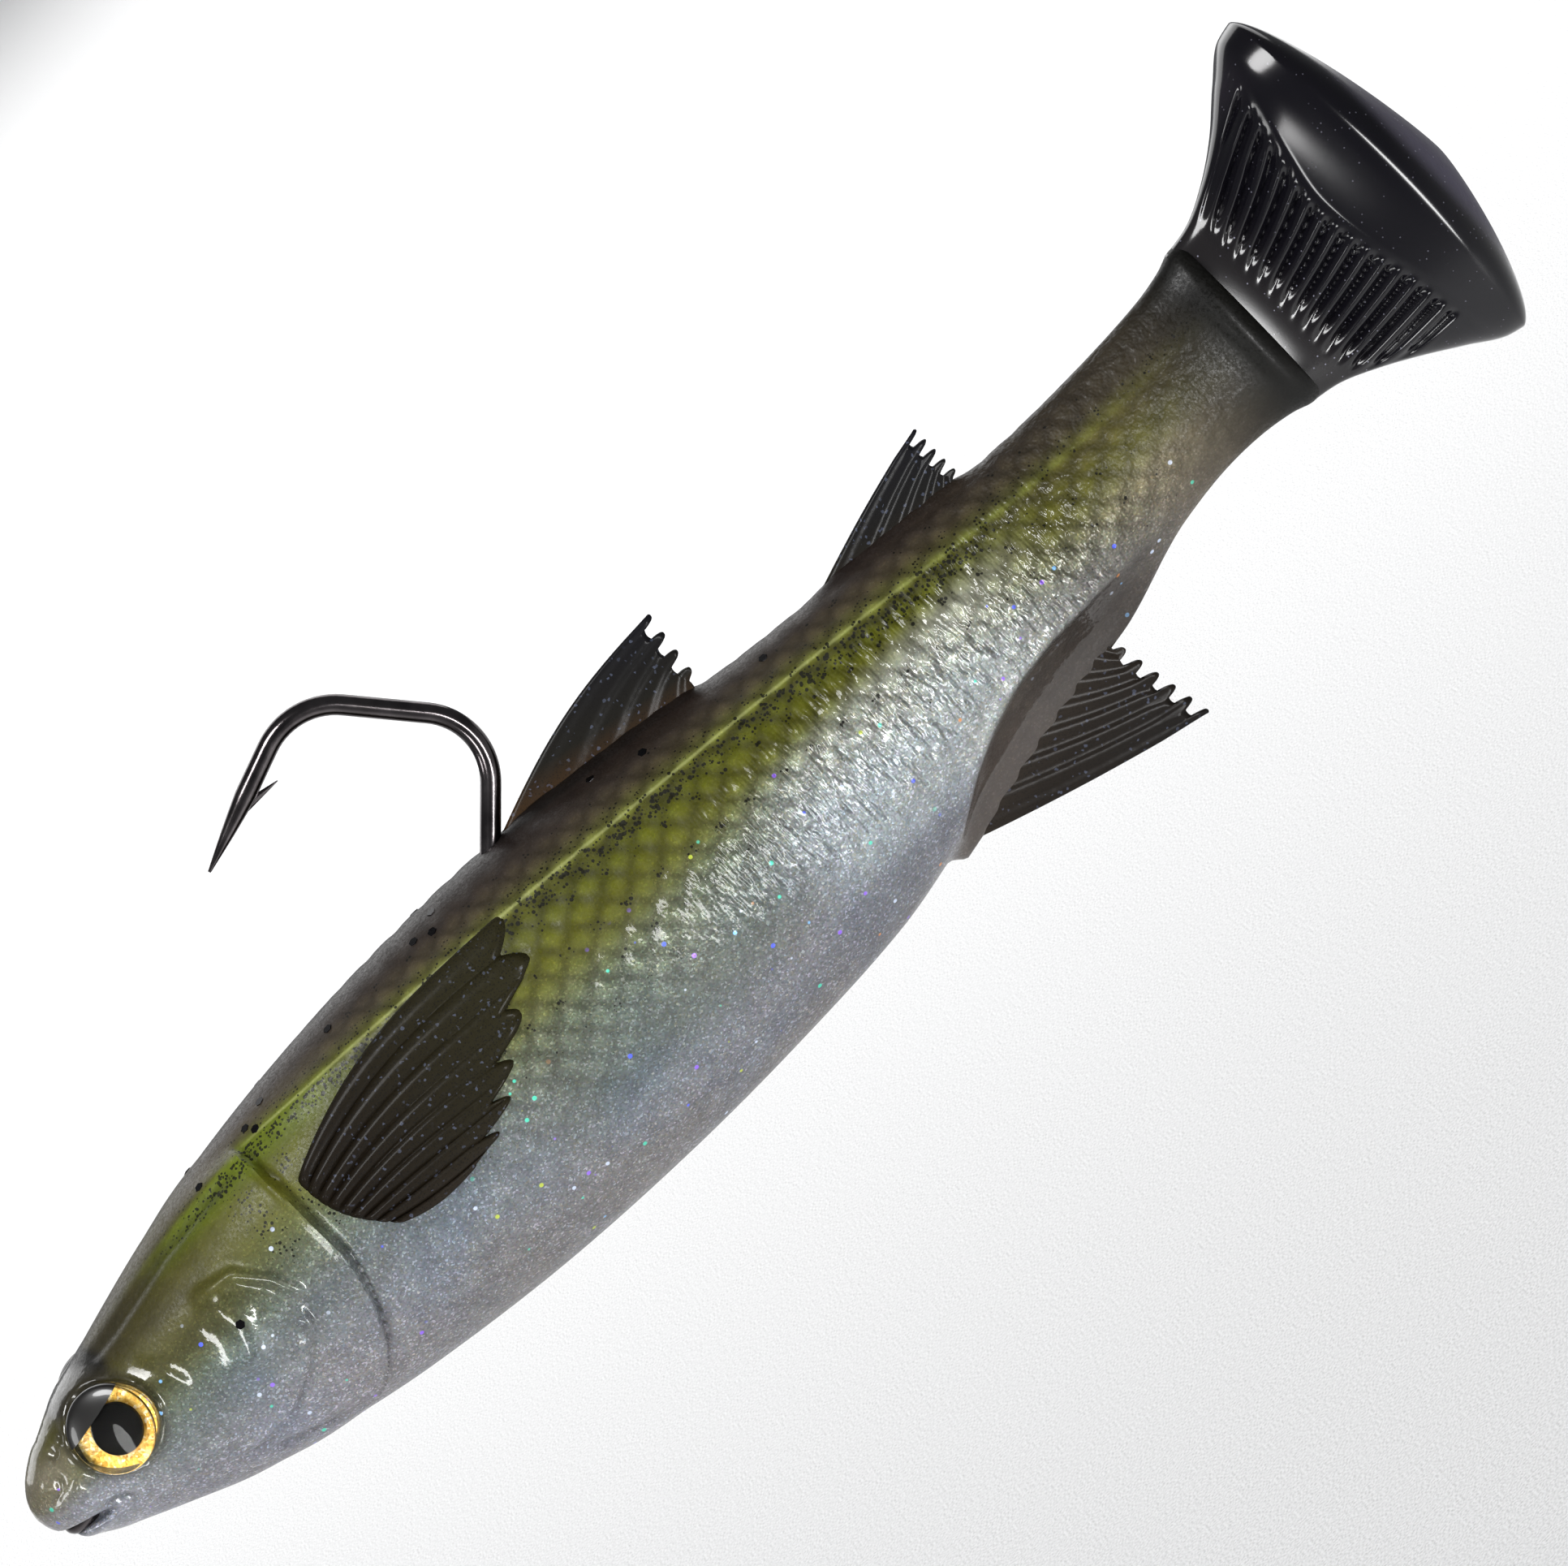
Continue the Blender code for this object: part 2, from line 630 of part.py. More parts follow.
class Fin:
    """A soft blade whose round root turns in a slot of the body."""

    def __init__(self, name, front, rear, blade, upward):
        self.name = name
        self.upward = upward
        self.height, self.lean, self.tips = blade
        self.front = self.root_point(front)
        self.rear = self.root_point(rear)
        self.along = (self.rear - self.front).normalized()
        self.out = Vector((-self.along.z, 0.0, self.along.x)) * (1 if upward else -1)
        self.length = (self.rear - self.front).length

    def root_point(self, station):
        back, belly, _, _ = body_sizes(station)
        height = back - FIN_SINK if self.upward else belly + FIN_SINK
        return Vector((station, 0.0, height))

    def at(self, along, out):
        return self.front + self.along * along + self.out * out

    def outline(self):
        """Return the blade: a bowed leading edge, then free ray tips down the rear edge."""
        points = [self.at(0.0, 0.0)]
        low = FIN_BEAD * 1.2
        top_along = self.length + self.lean
        for i in range(1, 6):
            share = i / 6
            bow = math.sin(share * math.pi) * self.height * FIN_BOW
            points.append(self.at(top_along * share, low + (self.height - low) * share + bow))
        span = (self.height - low) / self.tips
        for i in range(self.tips):
            upper = self.height - span * i
            for share in (0.12, 0.5, 0.88):
                reach = FIN_TIP_REACH * math.sin(math.pi * (0.18 + 0.64 * share)) - FIN_NOTCH
                base = self.length + self.lean * (upper - span * share) / self.height
                points.append(self.at(base + reach, upper - span * share))
            if i < self.tips - 1:
                notch = self.length + self.lean * (upper - span) / self.height - FIN_NOTCH
                points.append(self.at(notch, upper - span))
        points.append(self.at(self.length, 0.0))
        return points

    def blade(self):
        solid = Solid(self.name, self.front)
        solid.extruded(self.outline(), Vector((0.0, FIN_ROOT_THICK / 2, 0.0)))
        for vert in solid.bm.verts:
            share = (vert.co - self.front).dot(self.out) / self.height
            vert.co.y *= 1 - (1 - FIN_EDGE_THICK / FIN_ROOT_THICK) * min(share, 1.0)
        return solid

    def bead(self, grow):
        place = Matrix.Translation(self.front) @ self.along.to_track_quat("Z", "Y").to_matrix().to_4x4()
        return Solid(f"{self.name}_bead_tool").turned(
            disc_profile(FIN_BEAD + grow, -grow, self.length + grow), place, 16
        )

    def slot(self):
        """Return the opening over the root, wide enough for the blade at full swing."""
        low = -FIN_BEAD * 0.35
        rise = FIN_SINK + FIN_BEAD * 3
        near = FIN_ROOT_THICK / 2 + GAP
        far = near + rise * math.tan(math.radians(FIN_SWING))
        middle = self.at(self.length / 2, 0.0)
        outline = [
            middle + Vector((0.0, y, 0.0)) + self.out * out
            for y, out in ((-near, low), (near, low), (far, rise), (-far, rise))
        ]
        solid = Solid(f"{self.name}_slot_tool")
        return solid.extruded(outline, self.along * (self.length / 2 + GAP * 1.5))

    def build(self, material):
        return self.blade().add(self.bead(0.0).tool()).finish(material)

    def tools(self):
        return [self.bead(GAP).tool(), self.slot().tool()]


# ---------------------------------------------------------------- pectoral fins


def fan_ray(share, side, tip_cut):
    """Return one ray's closed section: its skin side, then its outer side back to the root."""
    root_station = GILL_STATION + FAN_FROM_GILL + FAN_ROOT_SLANT * share * share
    root_height = FAN_TOP + (FAN_BOTTOM - FAN_TOP) * share
    length = FAN_LENGTH + (FAN_LOWER_LENGTH - FAN_LENGTH) * share ** 0.9 - tip_cut
    arch = FAN_ARCH + (FAN_LOWER_ARCH - FAN_ARCH) * share
    steps = 8
    inner, outer = [], []
    for i in range(steps + 1):
        along = i / steps
        station = root_station + length * along
        height = root_height + arch * math.sin(along * math.pi * 0.72)
        angle = skin_angle(station, height)
        lift = FAN_THICK * (1 - 0.45 * along) + (FAN_RAY if tip_cut == 0.0 else 0.0)
        point = skin(station, angle)
        normal = skin_normal(station, angle)
        inner.append(point + normal * GAP)
        outer.append(point + normal * (GAP + lift))
    ring = inner + outer[::-1]
    return [Vector((point.x, point.y * -side, point.z)) for point in ring]


def build_pectoral(word, side, material):
    rows = FAN_TIPS * 2 - 1
    rings = [fan_ray(i / (rows - 1), side, 0.0 if i % 2 == 0 else FAN_NOTCH) for i in range(rows)]
    return Solid(f"{word}_pectoral_fin").loft(rings).finish(material)


# ---------------------------------------------------------------- body, stalk and tail


def body_rings(stations):
    return [[skin(station, angle) for angle in turns(SECTION_POINTS)] for station in stations]


def stalk_radius():
    """Return the radius of the stalk's knuckle."""
    return body_sizes(STALK_STATION)[2] * STALK_ROUND


def wrist_radius():
    """Return the radius of the tail's knuckle, which leaves the collar its wall."""
    return body_sizes(BODY_LENGTH)[2] - COLLAR_WALL - GAP


def knuckle_socket(station, radius):
    """Return a vertical round cutter for the socket that a knuckle turns in."""
    place = Matrix.Translation(Vector((station, 0.0, -REACH / 2)))
    return Solid("socket_tool").turned(disc_profile(radius + GAP, 0.0, REACH), place, 32)


def knuckle_plan(station, radius, swing):
    """Return the plan of a segment with a round knuckle ahead and flanks that clear the swing."""
    first = 90.0 - swing
    steps = 20
    outline = []
    for i in range(steps + 1):
        turn = math.radians(first + (360.0 - 2 * first) * i / steps)
        outline.append(Vector((station + radius * math.cos(turn), radius * math.sin(turn), 0.0)))
    edge = math.radians(first)
    far = REACH / 2
    corner = Vector((station + far * math.cos(edge), far * math.sin(edge), 0.0))
    behind = station + REACH
    outline.append(Vector((corner.x, -corner.y, 0.0)))
    outline.append(Vector((behind, -corner.y, 0.0)))
    outline.append(Vector((behind, corner.y, 0.0)))
    outline.append(corner)
    return Solid("plan_tool").extruded(outline, Vector((0.0, 0.0, REACH / 2)))


def mouth_slit():
    """Return the wedge between the jaws."""
    front = -NOSE_ROUND
    rise = MOUTH_HEIGHT / 2 * (1 + NOSE_ROUND / MOUTH_DEPTH)
    outline = [
        Vector((front, 0.0, TIE.z + rise)),
        Vector((front, 0.0, TIE.z - rise)),
        Vector((MOUTH_DEPTH, 0.0, TIE.z - MOUTH_CORNER / 2)),
        Vector((MOUTH_DEPTH, 0.0, TIE.z + MOUTH_CORNER / 2)),
    ]
    return Solid("mouth_slit_tool").extruded(outline, Vector((0.0, BODY_HALF_WIDTH, 0.0)))


def mouth_pocket():
    """Return the room in the mouth for the line-tie eye."""
    radius = TIE_HOLE / 2 + WIRE + GAP
    centre = TIE + Vector((WIRE, 0.0, 0.0))
    outline = [Vector((-NOSE_ROUND, radius, TIE.z))]
    for i in range(11):
        turn = math.pi / 2 - math.pi * i / 10
        outline.append(centre + Vector((math.cos(turn), math.sin(turn), 0.0)) * radius)
    outline.append(Vector((-NOSE_ROUND, -radius, TIE.z)))
    return Solid("mouth_pocket_tool").extruded(outline, Vector((0.0, 0.0, WIRE / 2 + GAP)))


def cheek_grooves():
    """Return round bars that press the cheek's grooves into both sides of the head."""
    solid = Solid("cheek_grooves_tool")
    for line in CHEEK_LINES:
        for side in (1, -1):
            path = []
            for along, rise in line:
                station = GILL_STATION * along
                angle = skin_angle(station, rise * (BACK_HEIGHT if rise > 0 else BELLY_DEPTH))
                point = skin(station, angle) + skin_normal(station, angle) * (CHEEK_RADIUS - CHEEK_DEPTH)
                path.append(Vector((point.x, point.y * side, point.z)))
            solid.loft(sweep(path, [CHEEK_RADIUS] * len(path), 8))
    return solid


def build_front(material, fins, channel):
    nose = [NOSE_ROUND * (1 - math.cos(math.pi / 2 * share)) for share in (0.1, 0.25, 0.42, 0.6, 0.8)]
    gill_front = GILL_STATION - GILL_SWEEP - GILL_STEP
    gill_rear = GILL_STATION + GILL_STEP
    stations = nose + spaced(NOSE_ROUND, gill_front, 2.2 * MM)
    stations += spaced(gill_front, gill_rear, 0.9 * MM)[1:]
    stations += spaced(gill_rear, STALK_STATION, 3.2 * MM)[1:]
    solid = Solid("front_body").loft(body_rings(stations))
    solid.cut(knuckle_socket(STALK_STATION, stalk_radius()).tool())
    solid.cut(ballast_solid("ballast_pocket_tool", GAP).tool())
    solid.cut(channel)
    solid.cut(mouth_pocket().tool())
    solid.cut(mouth_slit().tool())
    solid.cut(cheek_grooves().tool())
    for side in (-1, 1):
        solid.cut(eye_socket(side).tool())
    for fin in fins:
        for tool in fin.tools():
            solid.cut(tool)
    return solid.finish(material)


def build_stalk(material):
    radius = stalk_radius()
    stations = spaced(STALK_STATION - radius * 1.2, BODY_LENGTH - COLLAR_BACK, 2.0 * MM)
    pivot = Vector((STALK_STATION, 0.0, 0.0))
    solid = Solid("tail_stalk", pivot).loft(body_rings(stations))
    solid.keep(knuckle_plan(STALK_STATION, radius, STALK_SWING).tool())
    return solid.cut(knuckle_socket(BODY_LENGTH, wrist_radius()).tool()).finish(material)


def tail_sizes(station):
    """Return the tail's upper and lower heights and half width at a station."""
    share = (station - BODY_LENGTH) / TAIL_LENGTH
    late = max(0.0, (share - TAIL_ROUND_FROM) / (1 - TAIL_ROUND_FROM))
    full = math.sqrt(max(0.0, 1 - late * late))
    upper = TAIL_LOW_POINT + (tail_upper_share(share) * TAIL_UP - TAIL_LOW_POINT) * full
    lower = TAIL_LOW_POINT + (-tail_lower_share(share) * TAIL_DOWN - TAIL_LOW_POINT) * full
    wrist = wrist_radius() - GAP / 3
    half = wrist + (TAIL_HALF_WIDTH - wrist) * tail_width_share(share)
    return upper, lower, half * full


def tail_ring(station):
    upper, lower, half = tail_sizes(station)
    middle = (upper + lower) / 2
    ring = []
    for angle in turns(TAIL_POINTS):
        sine = math.sin(angle)
        ring.append(Vector((
            station,
            -half * math.copysign(abs(sine) ** TAIL_FULLNESS, sine),
            middle + (upper - lower) / 2 * math.cos(angle),
        )))
    return ring


def flute_comb():
    """Return round-nosed bars that press the flutes into both faces of the tail."""
    solid = Solid("flute_comb_tool")
    for i in range(FLUTES):
        share = i / (FLUTES - 1)
        height = FLUTE_TOP + (FLUTE_BOTTOM - FLUTE_TOP) * share
        slope = math.radians(FLUTE_TOP_SLOPE + (FLUTE_BOTTOM_SLOPE - FLUTE_TOP_SLOPE) * share)
        for side in (-1, 1):
            path = []
            for part in (0.0, 0.25, 0.5, 0.75, 0.93, 1.0):
                station = BODY_LENGTH + FLUTE_START + FLUTE_LENGTH * part
                rise = height + FLUTE_LENGTH * part * math.tan(slope)
                upper, lower, half = tail_sizes(station)
                level = (rise - (upper + lower) / 2) / ((upper - lower) / 2)
                face = half * max(1 - level * level, 0.02) ** (TAIL_FULLNESS / 2)
                path.append(Vector((station, side * (face + FLUTE_RADIUS - FLUTE_DEPTH), rise)))
            radii = [FLUTE_RADIUS] * 4 + [FLUTE_RADIUS * 0.8, FLUTE_RADIUS * 0.35]
            solid.loft(sweep(path, radii, 8))
    return solid


def build_tail(material):
    start = BODY_LENGTH - wrist_radius() * 1.3
    round_start = BODY_LENGTH + TAIL_LENGTH * TAIL_ROUND_FROM
    round_length = BODY_LENGTH + TAIL_LENGTH - round_start
    stations = spaced(start, round_start, 1.6 * MM)
    for share in (0.2, 0.4, 0.58, 0.74, 0.88, 0.97):
        stations.append(round_start + round_length * math.sin(math.pi / 2 * share))
    pivot = Vector((BODY_LENGTH, 0.0, 0.0))
    solid = Solid("wedge_tail", pivot).loft([tail_ring(station) for station in stations])
    solid.keep(knuckle_plan(BODY_LENGTH, wrist_radius(), WRIST_SWING).tool())
    return solid.cut(flute_comb().tool()).finish(material)


def build():
    for old in list(bpy.data.objects):
        bpy.data.objects.remove(old, do_unlink=True)
    soft = finish_of("glitter_plastic", (0.30, 0.34, 0.24), 0.2)
    dark = finish_of("dark_plastic", (0.012, 0.011, 0.010), 0.2)
    fin_dark = finish_of("fin_plastic", (0.05, 0.045, 0.03), 0.25)
    nickel = finish_of("black_nickel", (0.12, 0.12, 0.125), 0.18, 1.0)
    lead = finish_of("cast_lead", (0.30, 0.31, 0.33), 0.5, 1.0)
    gold = finish_of("gold_foil", (0.62, 0.47, 0.16), 0.3, 1.0)
    black = finish_of("pupil_black", (0.005, 0.005, 0.005), 0.2)
    clear = finish_of("clear_epoxy", (0.9, 0.9, 0.88), 0.05)

    behind_wire = HOOK_EXIT + WIRE / 2 / math.sin(math.radians(LEG_ANGLE)) + FIN_FROM_WIRE
    before_stalk = STALK_STATION - stalk_radius() - GAP - FIN_FROM_STALK
    fins = [
        Fin("first_dorsal_fin", behind_wire, FIRST_DORSAL_REAR, FIRST_DORSAL, True),
        Fin("second_dorsal_fin", SECOND_DORSAL_FRONT, before_stalk, SECOND_DORSAL, True),
        Fin("anal_fin", ANAL_FRONT, before_stalk, ANAL, False),
    ]
    channel = hook_channel().tool()
    build_front(soft, fins, channel)
    build_stalk(soft)
    build_tail(dark)
    for fin in fins:
        fin.build(fin_dark)
    for word, side in (("left", -1), ("right", 1)):
        build_pectoral(word, side, fin_dark)
        build_eye(word, side, gold, black, clear)
    build_ballast(lead, channel)
    build_hook(nickel)


build()
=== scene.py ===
import json
import logging
import math
import random
from dataclasses import dataclass, field
from enum import Enum
from typing import Callable, Sequence

import bmesh
import bpy
import numpy as np
from mathutils import Matrix, Vector


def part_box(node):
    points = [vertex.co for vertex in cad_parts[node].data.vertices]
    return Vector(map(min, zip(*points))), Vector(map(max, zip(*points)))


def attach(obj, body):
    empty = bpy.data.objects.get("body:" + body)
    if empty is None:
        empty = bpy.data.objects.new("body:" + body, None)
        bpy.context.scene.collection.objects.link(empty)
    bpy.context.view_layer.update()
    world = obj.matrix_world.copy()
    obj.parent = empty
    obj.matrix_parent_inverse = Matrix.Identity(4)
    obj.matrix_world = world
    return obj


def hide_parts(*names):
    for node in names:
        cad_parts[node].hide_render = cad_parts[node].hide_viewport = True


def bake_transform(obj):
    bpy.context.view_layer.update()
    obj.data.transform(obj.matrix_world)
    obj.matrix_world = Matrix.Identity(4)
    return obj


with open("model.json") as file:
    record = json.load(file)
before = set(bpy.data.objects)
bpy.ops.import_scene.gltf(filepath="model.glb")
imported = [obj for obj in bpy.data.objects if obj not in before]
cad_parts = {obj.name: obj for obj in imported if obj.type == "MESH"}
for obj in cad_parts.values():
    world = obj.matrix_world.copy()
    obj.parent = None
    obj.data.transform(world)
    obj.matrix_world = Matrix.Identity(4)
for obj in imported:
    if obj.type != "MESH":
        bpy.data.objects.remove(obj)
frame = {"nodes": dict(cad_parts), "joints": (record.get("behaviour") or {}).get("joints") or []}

MM = 0.001
# The pitch of the scales in mm, along the fish and down its side.
SCALE_LONG = 3.05
SCALE_HIGH = 2.85
LOG = logging.getLogger("swimbait")
Points = tuple[tuple[float, float], ...]
Socket = bpy.types.NodeSocket
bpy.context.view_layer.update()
# Where the camera looks, in mm from the nose.
AIM = (81.33, 0.0, -0.3)


class Side(Enum):
    """A side of the fish, with its sign along Y."""

    LEFT = -1
    RIGHT = 1


def linear(code: str) -> np.ndarray:
    """Read a display colour.

    Args:
        code: six hexadecimal digits.

    Returns:
        Its linear red, green and blue.
    """
    display = np.array([int(code[i:i + 2], 16) / 255 for i in (0, 2, 4)])
    return np.where(display <= 0.04045, display / 12.92, ((display + 0.055) / 1.055) ** 2.4)


def ease(value: np.ndarray, low: float = 0.0, high: float = 1.0) -> np.ndarray:
    """Step smoothly from 0 at low to 1 at high.

    Args:
        value: the numbers to read.
        low: where the step starts.
        high: where it ends; below low, the step falls.

    Returns:
        The step at each number.
    """
    share = np.clip((np.asarray(value, float) - low) / (high - low), 0.0, 1.0)
    return share * share * (3 - 2 * share)


def bell(value: np.ndarray, middle: float, width: float) -> np.ndarray:
    """Return a smooth hump: 1 at the middle, fading out over a few widths."""
    return np.exp(-(((value - middle) / width) ** 2))


def rounded(value: np.ndarray, start: float, end: float) -> np.ndarray:
    """Return 1 up to start, then a quarter circle that falls to 0 at end."""
    return np.sqrt(1 - np.clip((value - start) / (end - start), 0.0, 1.0) ** 2)


def toward(tint: np.ndarray, code: str, share: np.ndarray) -> np.ndarray:
    """Return the points' tints moved towards a display colour, by a share from 0 to 1 each."""
    return tint + (linear(code) - tint) * np.clip(share, 0.0, 1.0)[:, None]


@dataclass(frozen=True)
class Patch:
    """A soft-edged patch of the skin. Each (low, high) pair is one step of ease."""

    strength: float
    station: tuple[tuple[float, float], ...] = ()
    level: tuple[tuple[float, float], ...] = ()

    def share(self, station: np.ndarray, level: np.ndarray) -> np.ndarray:
        """Measure how strongly the patch covers the skin.

        Args:
            station: distance behind the nose, in mm.
            level: height over the axis, or another measure of how high a point is, in mm.

        Returns:
            From 0 outside to the patch's strength within.
        """
        covered = np.full(np.shape(station), self.strength)
        for measure, steps in ((station, self.station), (level, self.level)):
            for low, high in steps:
                covered = covered * ease(measure, low, high)
        return covered


@dataclass(frozen=True)
class Line:
    """A smooth line through a few (position, value) knots."""

    knots: Points

    def __call__(self, position: np.ndarray) -> np.ndarray:
        """Read the line.

        Args:
            position: where to read it.

        Returns:
            The value at each position.
        """
        x, y = np.array(self.knots, float).T
        slope = np.empty_like(y)
        slope[1:-1] = (y[2:] - y[:-2]) / (x[2:] - x[:-2])
        slope[0] = (y[1] - y[0]) / (x[1] - x[0])
        slope[-1] = (y[-1] - y[-2]) / (x[-1] - x[-2])
        place = np.clip(position, x[0], x[-1])
        i = np.clip(np.searchsorted(x, place, side="right") - 1, 0, len(x) - 2)
        span = x[i + 1] - x[i]
        t = (place - x[i]) / span
        u = 1 - t
        return (
            y[i] * (1 + 2 * t) * u * u
            + slope[i] * span * t * u * u
            + y[i + 1] * t * t * (3 - 2 * t)
            - slope[i + 1] * span * t * t * u
        )


@dataclass(frozen=True)
class Crest:
    """A moulded line on the skin, raised where height is above 0 and pressed in below it."""

    points: Points
    width: float
    height: float
    fade: float = 0.0

    def lift(self, station: np.ndarray, level: np.ndarray) -> np.ndarray:
        """Measure the line's relief.

        Args:
            station: distance behind the nose, in mm.
            level: height over the axis, in mm.

        Returns:
            How far the skin moves out, in mm.
        """
        nearest = np.full(np.shape(station), 1e9)
        along = np.zeros(np.shape(station))
        corners = np.array(self.points, float)
        for i, (start, end) in enumerate(zip(corners, corners[1:])):
            run = end - start
            share = ((station - start[0]) * run[0] + (level - start[1]) * run[1]) / (run @ run)
            share = np.clip(share, 0.0, 1.0)
            away = np.hypot(station - start[0] - run[0] * share, level - start[1] - run[1] * share)
            along = np.where(away < nearest, (i + share) / (len(corners) - 1), along)
            nearest = np.minimum(nearest, away)
        strength = ease(along, 0.0, self.fade) * ease(along, 1.0, 1 - self.fade) if self.fade else 1.0
        return self.height * bell(nearest, 0.0, self.width) * strength


# ------------------------------------------------------------------ meshes


def mapped_grid(
    across: int, along: int, shape: Callable[[np.ndarray, np.ndarray], np.ndarray],
) -> bmesh.types.BMesh:
    """Start from a flat grid and move its points onto a surface.

    Args:
        across: number of cells along the grid's first direction.
        along: number of cells along its second direction.
        shape: gives the points, in metres, for both grid coordinates from 0 to 1.

    Returns:
        The mesh, with its UV map holding the grid coordinates.
    """
    bm = bmesh.new()
    bmesh.ops.create_grid(bm, x_segments=across, y_segments=along, size=0.5)
    flat = np.array([vert.co[:2] for vert in bm.verts]) + 0.5
    uv = bm.loops.layers.uv.new("wrap")
    for face in bm.faces:
        for loop in face.loops:
            loop[uv].uv = (loop.vert.co.x + 0.5, loop.vert.co.y + 0.5)
    for vert, place in zip(bm.verts, shape(flat[:, 0], flat[:, 1])):
        vert.co = place
    return bm


def close(bm: bmesh.types.BMesh, merge: float = 2e-6) -> None:
    """Join a mapped grid's meeting edges, cap its ends and turn its faces out.

    Args:
        bm: the mesh.
        merge: distance under which points become one.
    """
    bmesh.ops.remove_doubles(bm, verts=bm.verts[:], dist=merge)
    bmesh.ops.dissolve_degenerate(bm, edges=bm.edges[:], dist=merge / 2)
    open_edges = [edge for edge in bm.edges if edge.is_boundary]
    if open_edges:
        bmesh.ops.holes_fill(bm, edges=open_edges, sides=0)
    bmesh.ops.recalc_face_normals(bm, faces=bm.faces[:])
    if bm.calc_volume(signed=True) < 0:
        bmesh.ops.reverse_faces(bm, faces=bm.faces[:])


def settle(
    name: str, bm: bmesh.types.BMesh, material: bpy.types.Material, sharp: float = 50.0,
) -> bpy.types.Object:
    """Write a mesh to a smooth object at the origin.

    Args:
        name: the piece's name.
        bm: its mesh, in the frame's own coordinates.
        material: its finish.
        sharp: edges that bend more than this many degrees stay crisp.

    Returns:
        The new object.
    """
    mesh = bpy.data.meshes.new(name)
    bm.to_mesh(mesh)
    bm.free()
    mesh.shade_smooth()
    mesh.set_sharp_from_angle(angle=math.radians(sharp))
    mesh.materials.append(material)
    piece = bpy.data.objects.new(name, mesh)
    bpy.context.scene.collection.objects.link(piece)
    LOG.info("%s: %d faces", name, len(mesh.polygons))
    return piece


def paint(piece: bpy.types.Object, name: str, colours: np.ndarray) -> None:
    """Store a colour on each point of a piece.

    Args:
        piece: the object.
        name: the attribute's name.
        colours: one row of three numbers for each point.
    """
    layer = piece.data.color_attributes.new(name, "FLOAT_COLOR", "POINT")
    rows = np.ones((len(colours), 4), np.float32)
    rows[:, :3] = colours
    layer.data.foreach_set("color", rows.ravel())


def points_of(piece: bpy.types.Object) -> np.ndarray:
    """Return a piece's points as rows of X, Y and Z."""
    flat = np.empty(len(piece.data.vertices) * 3, np.float32)
    piece.data.vertices.foreach_get("co", flat)
    return flat.reshape(-1, 3).astype(float)


# ------------------------------------------------------------------ finishes


